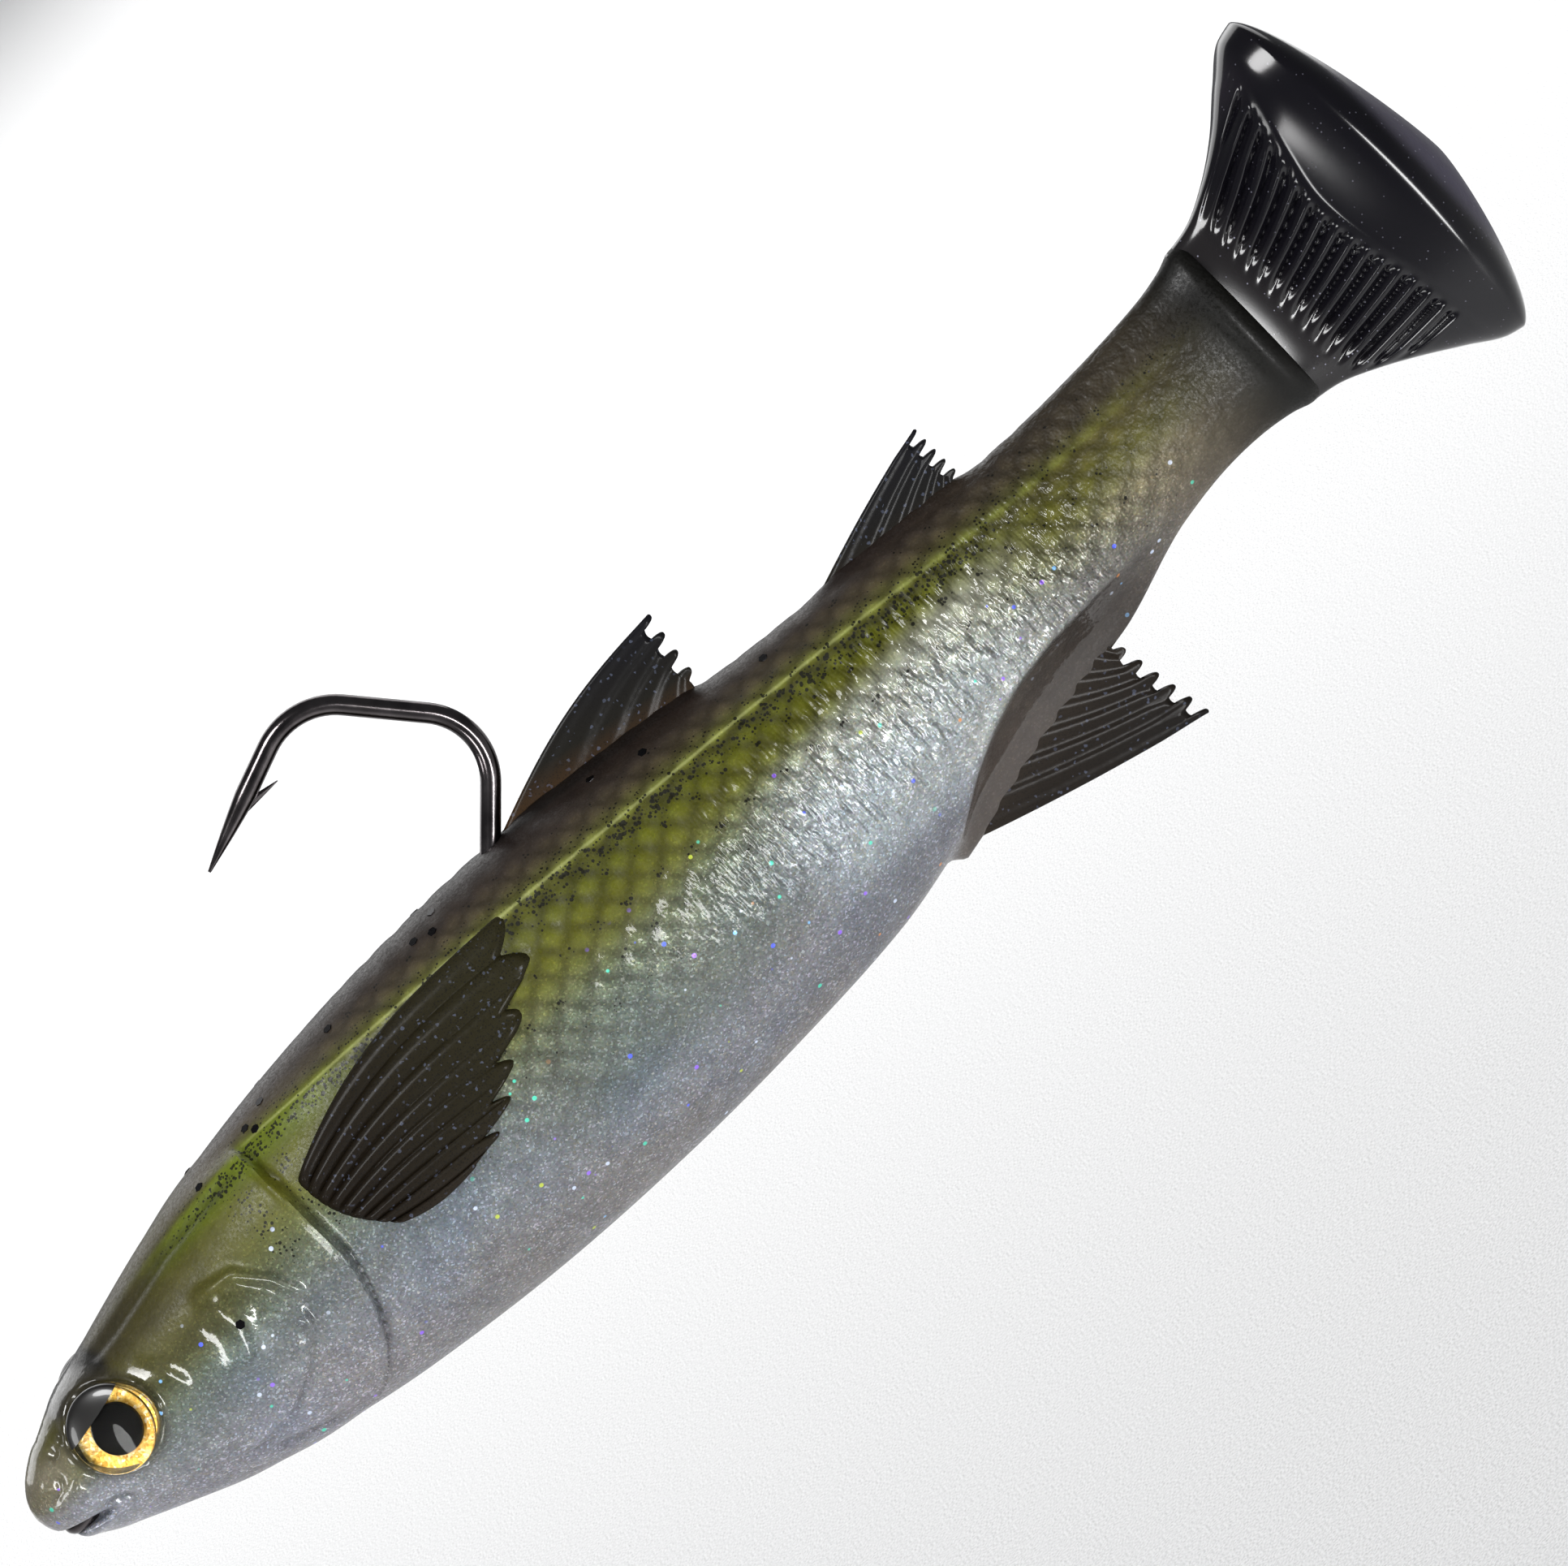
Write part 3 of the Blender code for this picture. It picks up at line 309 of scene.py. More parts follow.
class Graph:
    """A material under construction. Each call adds a node and returns its output."""

    noise_roughness = 0.55

    def __init__(
        self, name: str, roughness: float, metallic: float = 0.0, coat: float = 0.0,
        coat_roughness: float = 0.06, specular: float = 0.5,
    ) -> None:
        """Start a Principled material.

        Args:
            name: the material's name.
            roughness: the shader's own roughness.
            metallic: its metallic value.
            coat: weight of the clear gloss over it.
            coat_roughness: how much that gloss blurs.
            specular: its specular level.
        """
        self.material = bpy.data.materials.new(name)
        self.material.use_nodes = True
        self.tree = self.material.node_tree
        self.shader = self.tree.nodes["Principled BSDF"]
        self.set("Roughness", roughness)
        self.set("Metallic", metallic)
        self.set("Coat Weight", coat)
        self.set("Coat Roughness", coat_roughness)
        self.set("Specular IOR Level", specular)

    def set(self, socket: str, value: float | tuple | Socket) -> None:
        """Give one of the shader's sockets a value or a link."""
        self.join(value, self.shader.inputs[socket])

    def join(self, value: float | tuple | Socket, socket: Socket) -> None:
        """Put a value or another node's output into a socket."""
        if isinstance(value, bpy.types.NodeSocket):
            self.tree.links.new(value, socket)
        else:
            socket.default_value = value

    def node(self, kind: str, **settings: object) -> bpy.types.Node:
        """Add a node and set its options."""
        made = self.tree.nodes.new(kind)
        for key, value in settings.items():
            setattr(made, key, value)
        return made

    def place(self) -> Socket:
        """Return the point on the object."""
        return self.node("ShaderNodeTexCoord").outputs["Object"]

    def wrap(self) -> Socket:
        """Return the piece's own UV coordinates."""
        return self.node("ShaderNodeUVMap", uv_map="wrap").outputs["UV"]

    def painted(self, name: str) -> Socket:
        """Return a colour stored on the points."""
        return self.node("ShaderNodeAttribute", attribute_name=name).outputs["Color"]

    def split(self, colour: Socket) -> list[Socket]:
        """Return a colour's three channels."""
        made = self.node("ShaderNodeSeparateColor")
        self.join(colour, made.inputs[0])
        return list(made.outputs)

    def sums(self, operation: str, first: float | Socket, second: float | Socket = 0.0) -> Socket:
        """Return a Math node's result."""
        made = self.node("ShaderNodeMath", operation=operation)
        self.join(first, made.inputs[0])
        self.join(second, made.inputs[1])
        return made.outputs[0]

    def product(self, *parts: float | Socket) -> Socket:
        """Return the parts multiplied."""
        result = parts[0]
        for part in parts[1:]:
            result = self.sums("MULTIPLY", result, part)
        return result

    def fit(self, value: Socket, factor: float, offset: float) -> Socket:
        """Return a value times a factor, plus an offset."""
        made = self.node("ShaderNodeMath", operation="MULTIPLY_ADD")
        for part, socket in zip((value, factor, offset), made.inputs):
            self.join(part, socket)
        return made.outputs[0]

    def step(self, value: Socket, low: float, high: float) -> Socket:
        """Return a smooth step from 0 at low to 1 at high."""
        made = self.node("ShaderNodeMapRange", interpolation_type="SMOOTHSTEP")
        rising = high > low
        self.join(value, made.inputs["Value"])
        made.inputs["From Min"].default_value = low if rising else high
        made.inputs["From Max"].default_value = high if rising else low
        made.inputs["To Min"].default_value = 0.0 if rising else 1.0
        made.inputs["To Max"].default_value = 1.0 if rising else 0.0
        return made.outputs[0]

    def mix(
        self, share: float | Socket, first: tuple | Socket, second: tuple | Socket, mode: str = "MIX",
    ) -> Socket:
        """Return two colours mixed."""
        made = self.node("ShaderNodeMix", data_type="RGBA", blend_type=mode)
        self.join(share, made.inputs[0])
        self.join(first, made.inputs[6])
        self.join(second, made.inputs[7])
        return made.outputs[2]

    def ramp(
        self, value: Socket, stops: Sequence[tuple[float, tuple]], interpolation: str = "LINEAR",
    ) -> Socket:
        """Return a colour read off a ramp of (position, colour) stops."""
        made = self.node("ShaderNodeValToRGB")
        made.color_ramp.interpolation = interpolation
        elements = made.color_ramp.elements
        while len(elements) < len(stops):
            elements.new(1.0)
        for element, (position, colour) in zip(elements, stops):
            element.position = position
            element.color = (*colour[:3], 1.0)
        self.join(value, made.inputs[0])
        return made.outputs[0]

    def stretched(self, vector: Socket, scale: tuple[float, float, float]) -> Socket:
        """Return coordinates scaled along each axis."""
        made = self.node("ShaderNodeMapping")
        self.join(vector, made.inputs["Vector"])
        made.inputs["Scale"].default_value = scale
        return made.outputs[0]

    def noise(self, vector: Socket, scale: float, detail: float = 3.0) -> Socket:
        """Return a noise between 0 and 1."""
        made = self.node("ShaderNodeTexNoise")
        self.join(vector, made.inputs["Vector"])
        made.inputs["Scale"].default_value = scale
        made.inputs["Detail"].default_value = detail
        made.inputs["Roughness"].default_value = self.noise_roughness
        return made.outputs[0]

    def cells(self, vector: Socket, pitch: float) -> tuple[Socket, list[Socket]]:
        """Return the distance to the nearest cell's middle, and three random numbers of that cell.

        The pitch is the cells' size in metres. The distance is in pitches.
        """
        made = self.node("ShaderNodeTexVoronoi")
        self.join(vector, made.inputs["Vector"])
        made.inputs["Scale"].default_value = 1 / pitch
        return made.outputs["Distance"], self.split(made.outputs["Color"])

    def bump(
        self, height: Socket, distance: float, strength: float = 1.0, under: Socket | None = None,
    ) -> Socket:
        """Return a normal with a fine relief, distance in metres."""
        made = self.node("ShaderNodeBump")
        made.inputs["Strength"].default_value = strength
        made.inputs["Distance"].default_value = distance
        self.join(height, made.inputs["Height"])
        if under:
            self.join(under, made.inputs["Normal"])
        return made.outputs[0]


def colour(code: str) -> tuple[float, float, float, float]:
    """Return a display colour as linear values with an alpha of 1."""
    return (*[float(part) for part in linear(code)], 1.0)


FLAKE_COLOURS = (
    (0.0, "58e0c0"), (0.2, "5a6cff"), (0.4, "a070ff"), (0.55, "dce8ff"),
    (0.7, "8cc8ff"), (0.82, "c8d850"), (0.93, "e89850"),
)


@dataclass(frozen=True)
class SkinFinish:
    """Clear plastisol full of glitter, with a sprayed net of scales, pepper and a painted back.

    The skin's points carry tint, marks (pepper, pearl, scales), net (station, way down from the crest line,
    gloss) and feel (wrinkles, lumps).
    """

    glitter_pitch: float = 0.15 * MM
    flake_pitch: float = 1.5 * MM
    pepper_pitch: float = 0.30 * MM
    wobble: float = 0.35
    flake_cover: float = 0.8
    pepper_cover: float = 0.9
    # Strength of the painted highlight along the crest line.
    ridge_highlight_cover: float = 0.28
    pearl_metal: float = 0.4
    flake_metal: float = 0.6
    crease_scale: tuple[float, float, float] = (950.0, 1.0, 400.0)
    crease_height: float = 0.8 * MM
    lump_height: float = 0.22 * MM
    grain_height: float = 0.03 * MM

    def wave(self, g: Graph, turns: Socket) -> Socket:
        """Return a wave between 0 and 1, with its peak on each whole turn."""
        return g.fit(g.sums("COSINE", g.product(turns, 2 * math.pi)), 0.5, 0.5)

    def lattice(self, g: Graph, station: Socket, depth: Socket) -> tuple[Socket, Socket]:
        """Return how near each place is to the middle of a scale, and to a knot of the net."""
        wobble = g.product(g.noise(g.place(), 260.0, 2.0), self.wobble)
        along = g.sums("ADD", g.sums("DIVIDE", station, SCALE_LONG), wobble)
        down = g.sums("DIVIDE", depth, SCALE_HIGH)
        waves = [self.wave(g, g.sums(operation, along, down)) for operation in ("ADD", "SUBTRACT")]
        middle = g.product(*[g.sums("SUBTRACT", 1.0, wave) for wave in waves])
        return middle, g.product(*waves, self.wave(g, down))

    def netted(self, g: Graph, station: Socket, depth: Socket, scales: Socket, middle: Socket) -> Socket:
        """Return the tint with its clouds, its net of scales and a fine painted highlight along the crest
        line.
        """
        shade = g.ramp(middle, [
            (0.0, (0.66, 0.65, 0.62)), (0.25, (0.92, 0.92, 0.90)), (0.7, (1.16, 1.18, 1.08)),
        ])
        clouds = g.ramp(g.noise(g.place(), 520.0, 4.0), [
            (0.3, (0.80, 0.80, 0.81)), (0.7, (1.14, 1.15, 1.13)),
        ])
        tint = g.mix(1.0, g.painted("tint"), clouds, "MULTIPLY")
        tint = g.mix(scales, tint, g.mix(1.0, tint, shade, "MULTIPLY"))
        # Painted highlight: a pale line along the crest line, where the flank's ridge catches the light.
        crest = g.step(g.sums("ABSOLUTE", depth), 0.24, 0.02)
        crest = g.product(crest, g.step(station, 31.0, 35.0), g.step(station, 112.0, 84.0), self.ridge_highlight_cover)
        return g.mix(crest, tint, colour("b9bd7c"))

    def peppered(self, g: Graph, base: Socket, pepper: Socket, knots: Socket) -> Socket:
        """Return the colour with dark dots, in the pepper's places and on the net's knots."""
        near, own = g.cells(g.place(), self.pepper_pitch)
        amount = g.sums("MAXIMUM", pepper, g.product(knots, 0.95))
        dots = g.step(g.sums("SUBTRACT", near, g.product(amount, own[0], 0.85)), 0.03, -0.06)
        return g.mix(g.product(dots, self.pepper_cover), base, colour("0b0a06"))

    def glittered(self, g: Graph, base: Socket, pearl: Socket) -> tuple[Socket, Socket]:
        """Return the colour with its fine glitter, and a roughness that changes from grain to grain."""
        bright, hue, rough = g.cells(g.place(), self.glitter_pitch)[1]
        glint = g.ramp(bright, [
            (0.0, (0.70, 0.70, 0.70)), (0.5, (0.94, 0.94, 0.94)),
            (0.85, (1.14, 1.15, 1.16)), (1.0, (2.0, 2.0, 2.1)),
        ])
        tone = g.ramp(hue, [
            (0.0, (0.86, 1.0, 1.12)), (0.3, (1.0, 1.0, 1.02)), (0.55, (1.02, 0.96, 1.10)),
            (0.8, (0.92, 1.05, 1.0)), (1.0, (1.12, 1.03, 0.88)),
        ])
        sheen = g.ramp(g.noise(g.place(), 75.0, 2.0), [
            (0.35, (1.04, 1.0, 0.95)), (0.5, (1.0, 1.0, 1.0)), (0.68, (0.92, 0.98, 1.08)),
        ])
        dust = g.mix(1.0, base, g.mix(1.0, glint, tone, "MULTIPLY"), "MULTIPLY")
        dusted = g.mix(g.fit(pearl, 0.75, 0.25), base, dust)
        return g.mix(pearl, dusted, g.mix(1.0, dusted, sheen, "MULTIPLY")), g.fit(rough, 0.25, 0.32)

    def flaked(self, g: Graph, base: Socket, pearl: Socket) -> tuple[Socket, Socket]:
        """Return the colour with its bright flakes, and 1 on each flake."""
        near, (pick, kind, _) = g.cells(g.place(), self.flake_pitch)
        shown = g.product(g.step(near, 0.15, 0.10), g.step(pick, 0.50, 0.56), g.step(pearl, 0.15, 0.5))
        spectrum = g.ramp(kind, [(place, linear(code)) for place, code in FLAKE_COLOURS], "CONSTANT")
        return g.mix(g.product(shown, self.flake_cover), base, spectrum), shown

    def emboss(self, g: Graph) -> None:
        """Give the skin and its coat their fine relief."""
        place = g.place()
        wrinkles, lumps, _ = g.split(g.painted("feel"))
        creases = g.noise(g.stretched(place, self.crease_scale), 1.0, 2.0)
        under = g.bump(g.product(creases, wrinkles), self.crease_height)
        under = g.bump(g.product(g.noise(place, 1100.0, 2.0), lumps), self.lump_height, 1.0, under)
        g.set("Normal", g.bump(g.noise(place, 2400.0, 2.0), self.grain_height, 0.5, under))
        g.set("Coat Normal", g.bump(g.noise(place, 900.0, 3.0), self.grain_height, 0.6, under))

    def build(self) -> bpy.types.Material:
        """Return the material."""
        g = Graph("glitter_plastic_skin", roughness=0.42, coat_roughness=0.08, specular=0.22)
        pepper, pearl, scales = g.split(g.painted("marks"))
        station, depth, gloss = g.split(g.painted("net"))
        middle, knot = self.lattice(g, station, depth)
        base = self.netted(g, station, depth, scales, middle)
        base = self.peppered(g, base, pepper, g.product(knot, scales))
        base, rough = self.glittered(g, base, pearl)
        base, shown = self.flaked(g, base, pearl)
        g.set("Base Color", base)
        g.set("Roughness", rough)
        metal = g.sums("MAXIMUM", g.product(pearl, self.pearl_metal), g.product(shown, self.flake_metal))
        g.set("Metallic", metal)
        g.set("Coat Weight", gloss)
        self.emboss(g)
        return g.material


@dataclass(frozen=True)
class TailFinish:
    """Black dip over the tail: wet gloss on the faces, powdery round the rim, with a dust of glitter."""

    dust_pitch: float = 0.42 * MM
    dust_cover: float = 0.7
    pebble_height: float = 0.12 * MM

    def build(self) -> bpy.types.Material:
        """Return the material. The tail's points carry tint and marks: dust and powder."""
        g = Graph("black_tail_dip", roughness=0.22, coat_roughness=0.13, specular=0.1)
        dusty, powder, _ = g.split(g.painted("marks"))
        near, own = g.cells(g.place(), self.dust_pitch)
        specks = g.product(g.step(near, 0.20, 0.10), g.step(own[0], 0.72, 0.8), dusty, self.dust_cover)
        g.set("Base Color", g.mix(specks, g.painted("tint"), colour("8d8d9c")))
        g.set("Roughness", g.fit(powder, 0.5, 0.16))
        g.set("Coat Weight", g.fit(powder, -0.5, 0.6))
        pebble = g.product(g.noise(g.place(), 1500.0, 3.0), g.sums("ADD", powder, 0.04))
        g.set("Normal", g.bump(pebble, self.pebble_height, 0.6))
        return g.material


@dataclass(frozen=True)
class FinFinish:
    """Tinted plastic with pepper, a sparse dust of glitter and a thin wet coat."""

    name: str
    coat: float = 0.10
    grain: float = 0.06 * MM
    coat_grain: float = 0.04 * MM
    pepper_pitch: float = 0.2 * MM
    pepper: float = 0.5
    glint_cover: float = 0.22

    def build(self) -> bpy.types.Material:
        """Return the material. The fin's points carry its tint."""
        g = Graph(self.name, roughness=0.6, coat=self.coat, coat_roughness=0.16, specular=0.1)
        place = g.place()
        near, own = g.cells(place, self.pepper_pitch)
        dark = g.product(g.step(near, 0.42, 0.15), self.pepper)
        glint = g.product(g.step(own[1], 0.96, 0.99), self.glint_cover)
        g.set("Base Color", g.mix(glint, g.mix(dark, g.painted("tint"), colour("070605")), colour("7a84a0")))
        g.set("Normal", g.bump(g.noise(place, 1300.0, 3.0), self.grain, 0.8))
        g.set("Coat Normal", g.bump(g.noise(place, 700.0, 2.0), self.coat_grain, 0.35))
        return g.material


@dataclass(frozen=True)
class NickelFinish:
    """Black nickel plate on a chemically sharpened hook."""

    grain_height: float = 0.01 * MM

    def build(self) -> bpy.types.Material:
        """Return the material."""
        g = Graph("black_nickel", roughness=0.17, metallic=1.0)
        place = g.place()
        haze = g.noise(place, 420.0, 4.0)
        g.set("Base Color", g.ramp(haze, [(0.3, linear("4b4748")), (0.7, linear("6b6667"))]))
        g.set("Roughness", g.fit(haze, 0.14, 0.10))
        g.set("Normal", g.bump(g.noise(place, 3000.0, 2.0), self.grain_height, 0.5))
        return g.material


@dataclass(frozen=True)
class LeadFinish:
    """Cast lead with a dull, pitted face."""

    pit_depth: float = 0.08 * MM

    def build(self) -> bpy.types.Material:
        """Return the material."""
        g = Graph("cast_lead", roughness=0.55, metallic=1.0)
        place = g.place()
        g.set("Base Color", g.ramp(g.noise(place, 300.0), [(0.3, linear("6d6f75")), (0.7, linear("93959b"))]))
        g.set("Normal", g.bump(g.noise(place, 900.0, 4.0), self.pit_depth, 0.6))
        return g.material


@dataclass(frozen=True)
class IrisFinish:
    """Gold foil with coarse sparkle, darker round its rim and its pupil."""

    sparkle_pitch: float = 0.2 * MM
    sparkle_height: float = 0.05 * MM
    rim_cover: float = 0.85
    inner_cover: float = 0.45

    def build(self) -> bpy.types.Material:
        """Return the material. The disc's UV map is centred, with its rim at 0.5."""
        g = Graph("gold_foil_iris", roughness=0.45, metallic=0.35)
        spot = g.node("ShaderNodeVectorMath", operation="DISTANCE")
        g.join(g.wrap(), spot.inputs[0])
        spot.inputs[1].default_value = (0.5, 0.5, 0.0)
        radius = spot.outputs["Value"]
        near, own = g.cells(g.place(), self.sparkle_pitch)
        gold = g.ramp(own[0], [
            (0.0, linear("b98528")), (0.4, linear("e6b445")),
            (0.8, linear("f8d777")), (1.0, linear("fff6d8")),
        ])
        rim = g.product(g.step(radius, 0.43, 0.49), self.rim_cover)
        inner = g.product(g.step(radius, 0.35, 0.29), self.inner_cover)
        g.set("Base Color", g.mix(inner, g.mix(rim, gold, colour("4a4420")), colour("7a4a14")))
        g.set("Normal", g.bump(near, self.sparkle_height, 0.5))
        return g.material


@dataclass(frozen=True)
class PlainFinish:
    """One colour with a faint grain, for small moulded pieces."""

    name: str
    code: str
    roughness: float
    coat: float = 0.0
    metallic: float = 0.0
    specular: float = 0.5

    def build(self) -> bpy.types.Material:
        """Return the material."""
        g = Graph(self.name, self.roughness, self.metallic, self.coat, specular=self.specular)
        base = linear(self.code)
        grain = g.noise(g.place(), 1800.0, 2.0)
        g.set("Base Color", g.ramp(grain, [(0.3, base * 0.75), (0.7, base * 1.25)]))
        return g.material


@dataclass(frozen=True)
class LensFinish:
    """Clear poured epoxy."""

    def build(self) -> bpy.types.Material:
        """Return the material."""
        g = Graph("clear_epoxy", roughness=0.02)
        g.set("Base Color", colour("fbfaf4"))
        g.set("Transmission Weight", 1.0)
        g.set("IOR", 1.22)
        return g.material


# ------------------------------------------------------------------ the fish's form


@dataclass
class BodyForm:
    """The moulded body's surface, in body coordinates: mm behind the nose and over the axis."""

    length: float
    back_height: float
    belly_depth: float
    half_width: float
    nose: Vector
    nose_round: float = 5.0
    back: Line = Line((
        (0.0, 0.30), (0.03, 0.36), (0.053, 0.465), (0.10, 0.605), (0.165, 0.775), (0.24, 0.905),
        (0.32, 0.98), (0.39, 1.0), (0.465, 0.973), (0.556, 0.857), (0.646, 0.703), (0.75, 0.595),
        (0.826, 0.51), (0.886, 0.494), (0.953, 0.525), (0.99, 0.60),
    ))
    belly: Line = Line((
        (0.0, 0.24), (0.03, 0.31), (0.068, 0.45), (0.11, 0.60), (0.165, 0.725), (0.225, 0.835),
        (0.32, 0.945), (0.42, 0.995), (0.51, 0.995), (0.60, 0.955), (0.66, 0.86), (0.75, 0.70),
        (0.86, 0.55), (0.915, 0.48), (0.953, 0.482), (0.99, 0.54),
    ))
    width: Line = Line((
        (0.0, 0.32), (0.03, 0.42), (0.075, 0.63), (0.113, 0.76), (0.165, 0.86), (0.24, 0.935),
        (0.34, 1.0), (0.44, 1.0), (0.53, 0.92), (0.64, 0.76), (0.75, 0.575), (0.86, 0.41),
        (0.94, 0.315), (0.975, 0.32), (0.985, 0.34), (0.996, 0.29),
    ))
    waist: Line = Line(((0.0, 0.02), (0.1, 0.10), (0.3, 0.06), (0.6, -0.04), (0.85, -0.08), (1.0, -0.05)))
    probe_angle: float = 0.01
    probe_length: float = 0.3

    @classmethod
    def from_frame(cls) -> "BodyForm":
        """Read the body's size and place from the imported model."""
        hinge = joint_place("tail_kick")
        low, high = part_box("front_body")
        return cls(
            length=(hinge.x - low.x) / MM,
            back_height=(high.z - hinge.z) / MM,
            belly_depth=(hinge.z - low.z) / MM,
            half_width=high.y / MM,
            nose=Vector((low.x, 0.0, hinge.z)),
        )

    def sizes(self, station: np.ndarray) -> tuple[np.ndarray, np.ndarray, np.ndarray, np.ndarray]:
        """Return the back's height, the belly's height, the half width and the waist, in mm."""
        share = station / self.length
        full = rounded(station, self.nose_round, 0.0)
        waist = self.waist(share) * self.back_height
        back = waist + (self.back(share) * self.back_height - waist) * full
        belly = waist + (-self.belly(share) * self.belly_depth - waist) * full
        return back, belly, self.width(share) * self.half_width * full, waist

    def section(self, station: np.ndarray, angle: np.ndarray) -> tuple[np.ndarray, np.ndarray]:
        """Return the smooth section's half width and height at an angle from the back."""
        back, belly, half, waist = self.sizes(station)
        upper = np.cos(angle)
        level = waist + upper * np.where(upper > 0, back - waist, waist - belly)
        return half * np.sin(angle), level

    def angle_at(self, station: np.ndarray, level: np.ndarray) -> np.ndarray:
        """Return the angle from the back at which the skin has a height."""
        back, belly, _, waist = self.sizes(station)
        reach = np.where(level > waist, back - waist, waist - belly)
        return np.arccos(np.clip((level - waist) / reach, -1.0, 1.0))

    def world(self, station: np.ndarray, out: np.ndarray, level: np.ndarray) -> np.ndarray:
        """Return points in the frame, in metres. The left side has a negative out."""
        points = np.stack([station, out, level], axis=-1) * MM
        return points + np.array(self.nose)

    def on_skin(self, station: np.ndarray, angle: np.ndarray, side: Side, lift: np.ndarray) -> np.ndarray:
        """Return points over the smooth skin.

        Args:
            station: mm behind the nose.
            angle: from the back, in radians.
            side: the side of the fish.
            lift: how far out of the skin, in mm.

        Returns:
            The points, in metres.
        """
        half, level = self.section(station, angle)
        half_next, level_next = self.section(station, angle + self.probe_angle)
        half_aft, level_aft = self.section(station + self.probe_length, angle)
        around = np.stack([np.zeros_like(half), half_next - half, level_next - level], -1) / self.probe_angle
        along = np.stack([np.full_like(half, self.probe_length), half_aft - half, level_aft - level], -1)
        normal = np.cross(along, around)
        normal /= np.linalg.norm(normal, axis=-1, keepdims=True) + 1e-12
        normal *= np.where(normal[..., 1:2] < 0, -1.0, 1.0)
        moved = np.stack([station, half, level], -1) + normal * np.asarray(lift)[..., None]
        return self.world(moved[..., 0], moved[..., 1] * side.value, moved[..., 2])


def joint_place(name: str) -> Vector:
    """Return a joint's position in the frame."""
    return Vector(next(joint["pos_m"] for joint in frame["joints"] if joint["name"] == name))


# In mm: the crest line's and the web's heights along the fish, and the gill cover's station up its side.
CREST_LINE = Line((
    (0.0, 4.0), (12.0, 7.4), (22.0, 9.4), (32.7, 10.6), (54.4, 9.9), (76.0, 7.8), (93.8, 5.7), (114.7, 3.0),
    (133.0, 2.4),
))
WEB_EDGE = Line((
    (84.0, -15.0), (86.5, -13.6), (89.9, -11.2), (92.2, -9.6), (95.7, -7.9), (99.1, -6.8), (103.7, -6.3),
    (118.0, -6.6),
))
GILL_EDGE = Line((
    (-13.0, 21.5), (-10.7, 25.8), (-8.4, 28.7), (-4.5, 30.9), (-0.4, 32.2), (5.0, 32.3), (9.6, 31.9),
    (12.0, 31.0),
))
GILL_SPAN = ((11.2, 9.8), (-11.8, -9.6))
FIN_ROOTS = (((62.0, 66.0), (83.5, 80.0)), ((92.0, 96.0), (109.0, 106.0)))
CRESTS = (
    # Cheek plate's groove and fold, then two folds in front of the gill cover.
    Crest((
        (28.0, 1.2), (27.0, -1.8), (24.2, -4.5), (21.2, -6.3), (17.3, -6.9), (13.6, -6.2),
    ), 0.26, -0.26, 0.2),
    Crest((
        (27.5, 1.2), (26.6, -1.7), (23.9, -4.2), (21.0, -5.9), (17.3, -6.5), (13.9, -5.9),
    ), 0.4, 0.30, 0.25),
    Crest(((20.9, 5.6), (25.0, 4.8), (26.9, 2.7), (28.2, -0.4)), 0.5, 0.5, 0.15),
    Crest(((24.2, 1.5), (26.0, -0.6), (26.9, -2.4)), 0.5, 0.42, 0.2),
    # Throat, crown, the hollow behind the eye and the cheek.
    Crest(((26.2, -10.9), (21.1, -9.3), (16.5, -7.7)), 0.30, -0.28, 0.2),
    Crest(((11.9, 6.9), (15.0, 7.4), (21.9, 8.9), (31.4, 9.8)), 0.34, -0.3, 0.1),
    Crest(((14.2, 5.6), (15.8, 3.2), (16.7, 0.2)), 0.6, -0.2, 0.3),
    Crest(((22.4, 5.6), (22.9, 1.6), (21.1, -2.2)), 1.6, 0.8, 0.2),
    # The ridge along the flank, the hollow under it, and the web's fold.
    Crest(((32.7, 10.6), (54.4, 9.9), (76.0, 7.8), (93.8, 5.7), (114.7, 3.0)), 0.8, 0.36, 0.08),
    Crest(((32.7, 8.6), (54.4, 7.9), (76.0, 5.9), (93.8, 4.0), (110.7, 2.2)), 1.2, -0.16, 0.12),
    Crest((
        (86.5, -13.4), (89.9, -10.9), (92.2, -9.3), (95.7, -7.6), (99.1, -6.5), (103.7, -6.0), (113.0, -6.2),
    ), 0.55, 0.3, 0.1),
    # Lips, mouth corner, nostrils, nose folds and brow.
    Crest(((1.0, -0.4), (2.8, -0.7), (5.6, -1.1)), 0.55, 0.30, 0.2),
    Crest(((1.2, -3.0), (2.8, -3.1), (5.4, -2.8)), 0.5, 0.25, 0.2),
    Crest(((4.6, -1.9), (6.0, -2.1), (7.6, -2.9)), 0.35, -0.35, 0.25),
    Crest(((4.9, 3.7), (5.2, 3.9)), 0.36, -0.42),
    Crest(((6.0, 4.2), (6.3, 4.4)), 0.30, -0.32),
    Crest(((1.4, 1.6), (3.0, 3.0), (4.6, 4.4)), 0.7, 0.30, 0.3),
    Crest(((4.3, 1.3), (4.9, 0.3), (5.2, -0.6)), 0.9, 0.42, 0.3),
    Crest(((1.6, 0.6), (3.4, 1.3), (4.4, 2.6)), 0.35, -0.25, 0.3),
    Crest(((6.8, 4.9), (8.4, 5.7), (10.6, 5.9), (12.6, 5.3)), 0.8, 0.3, 0.2),
)

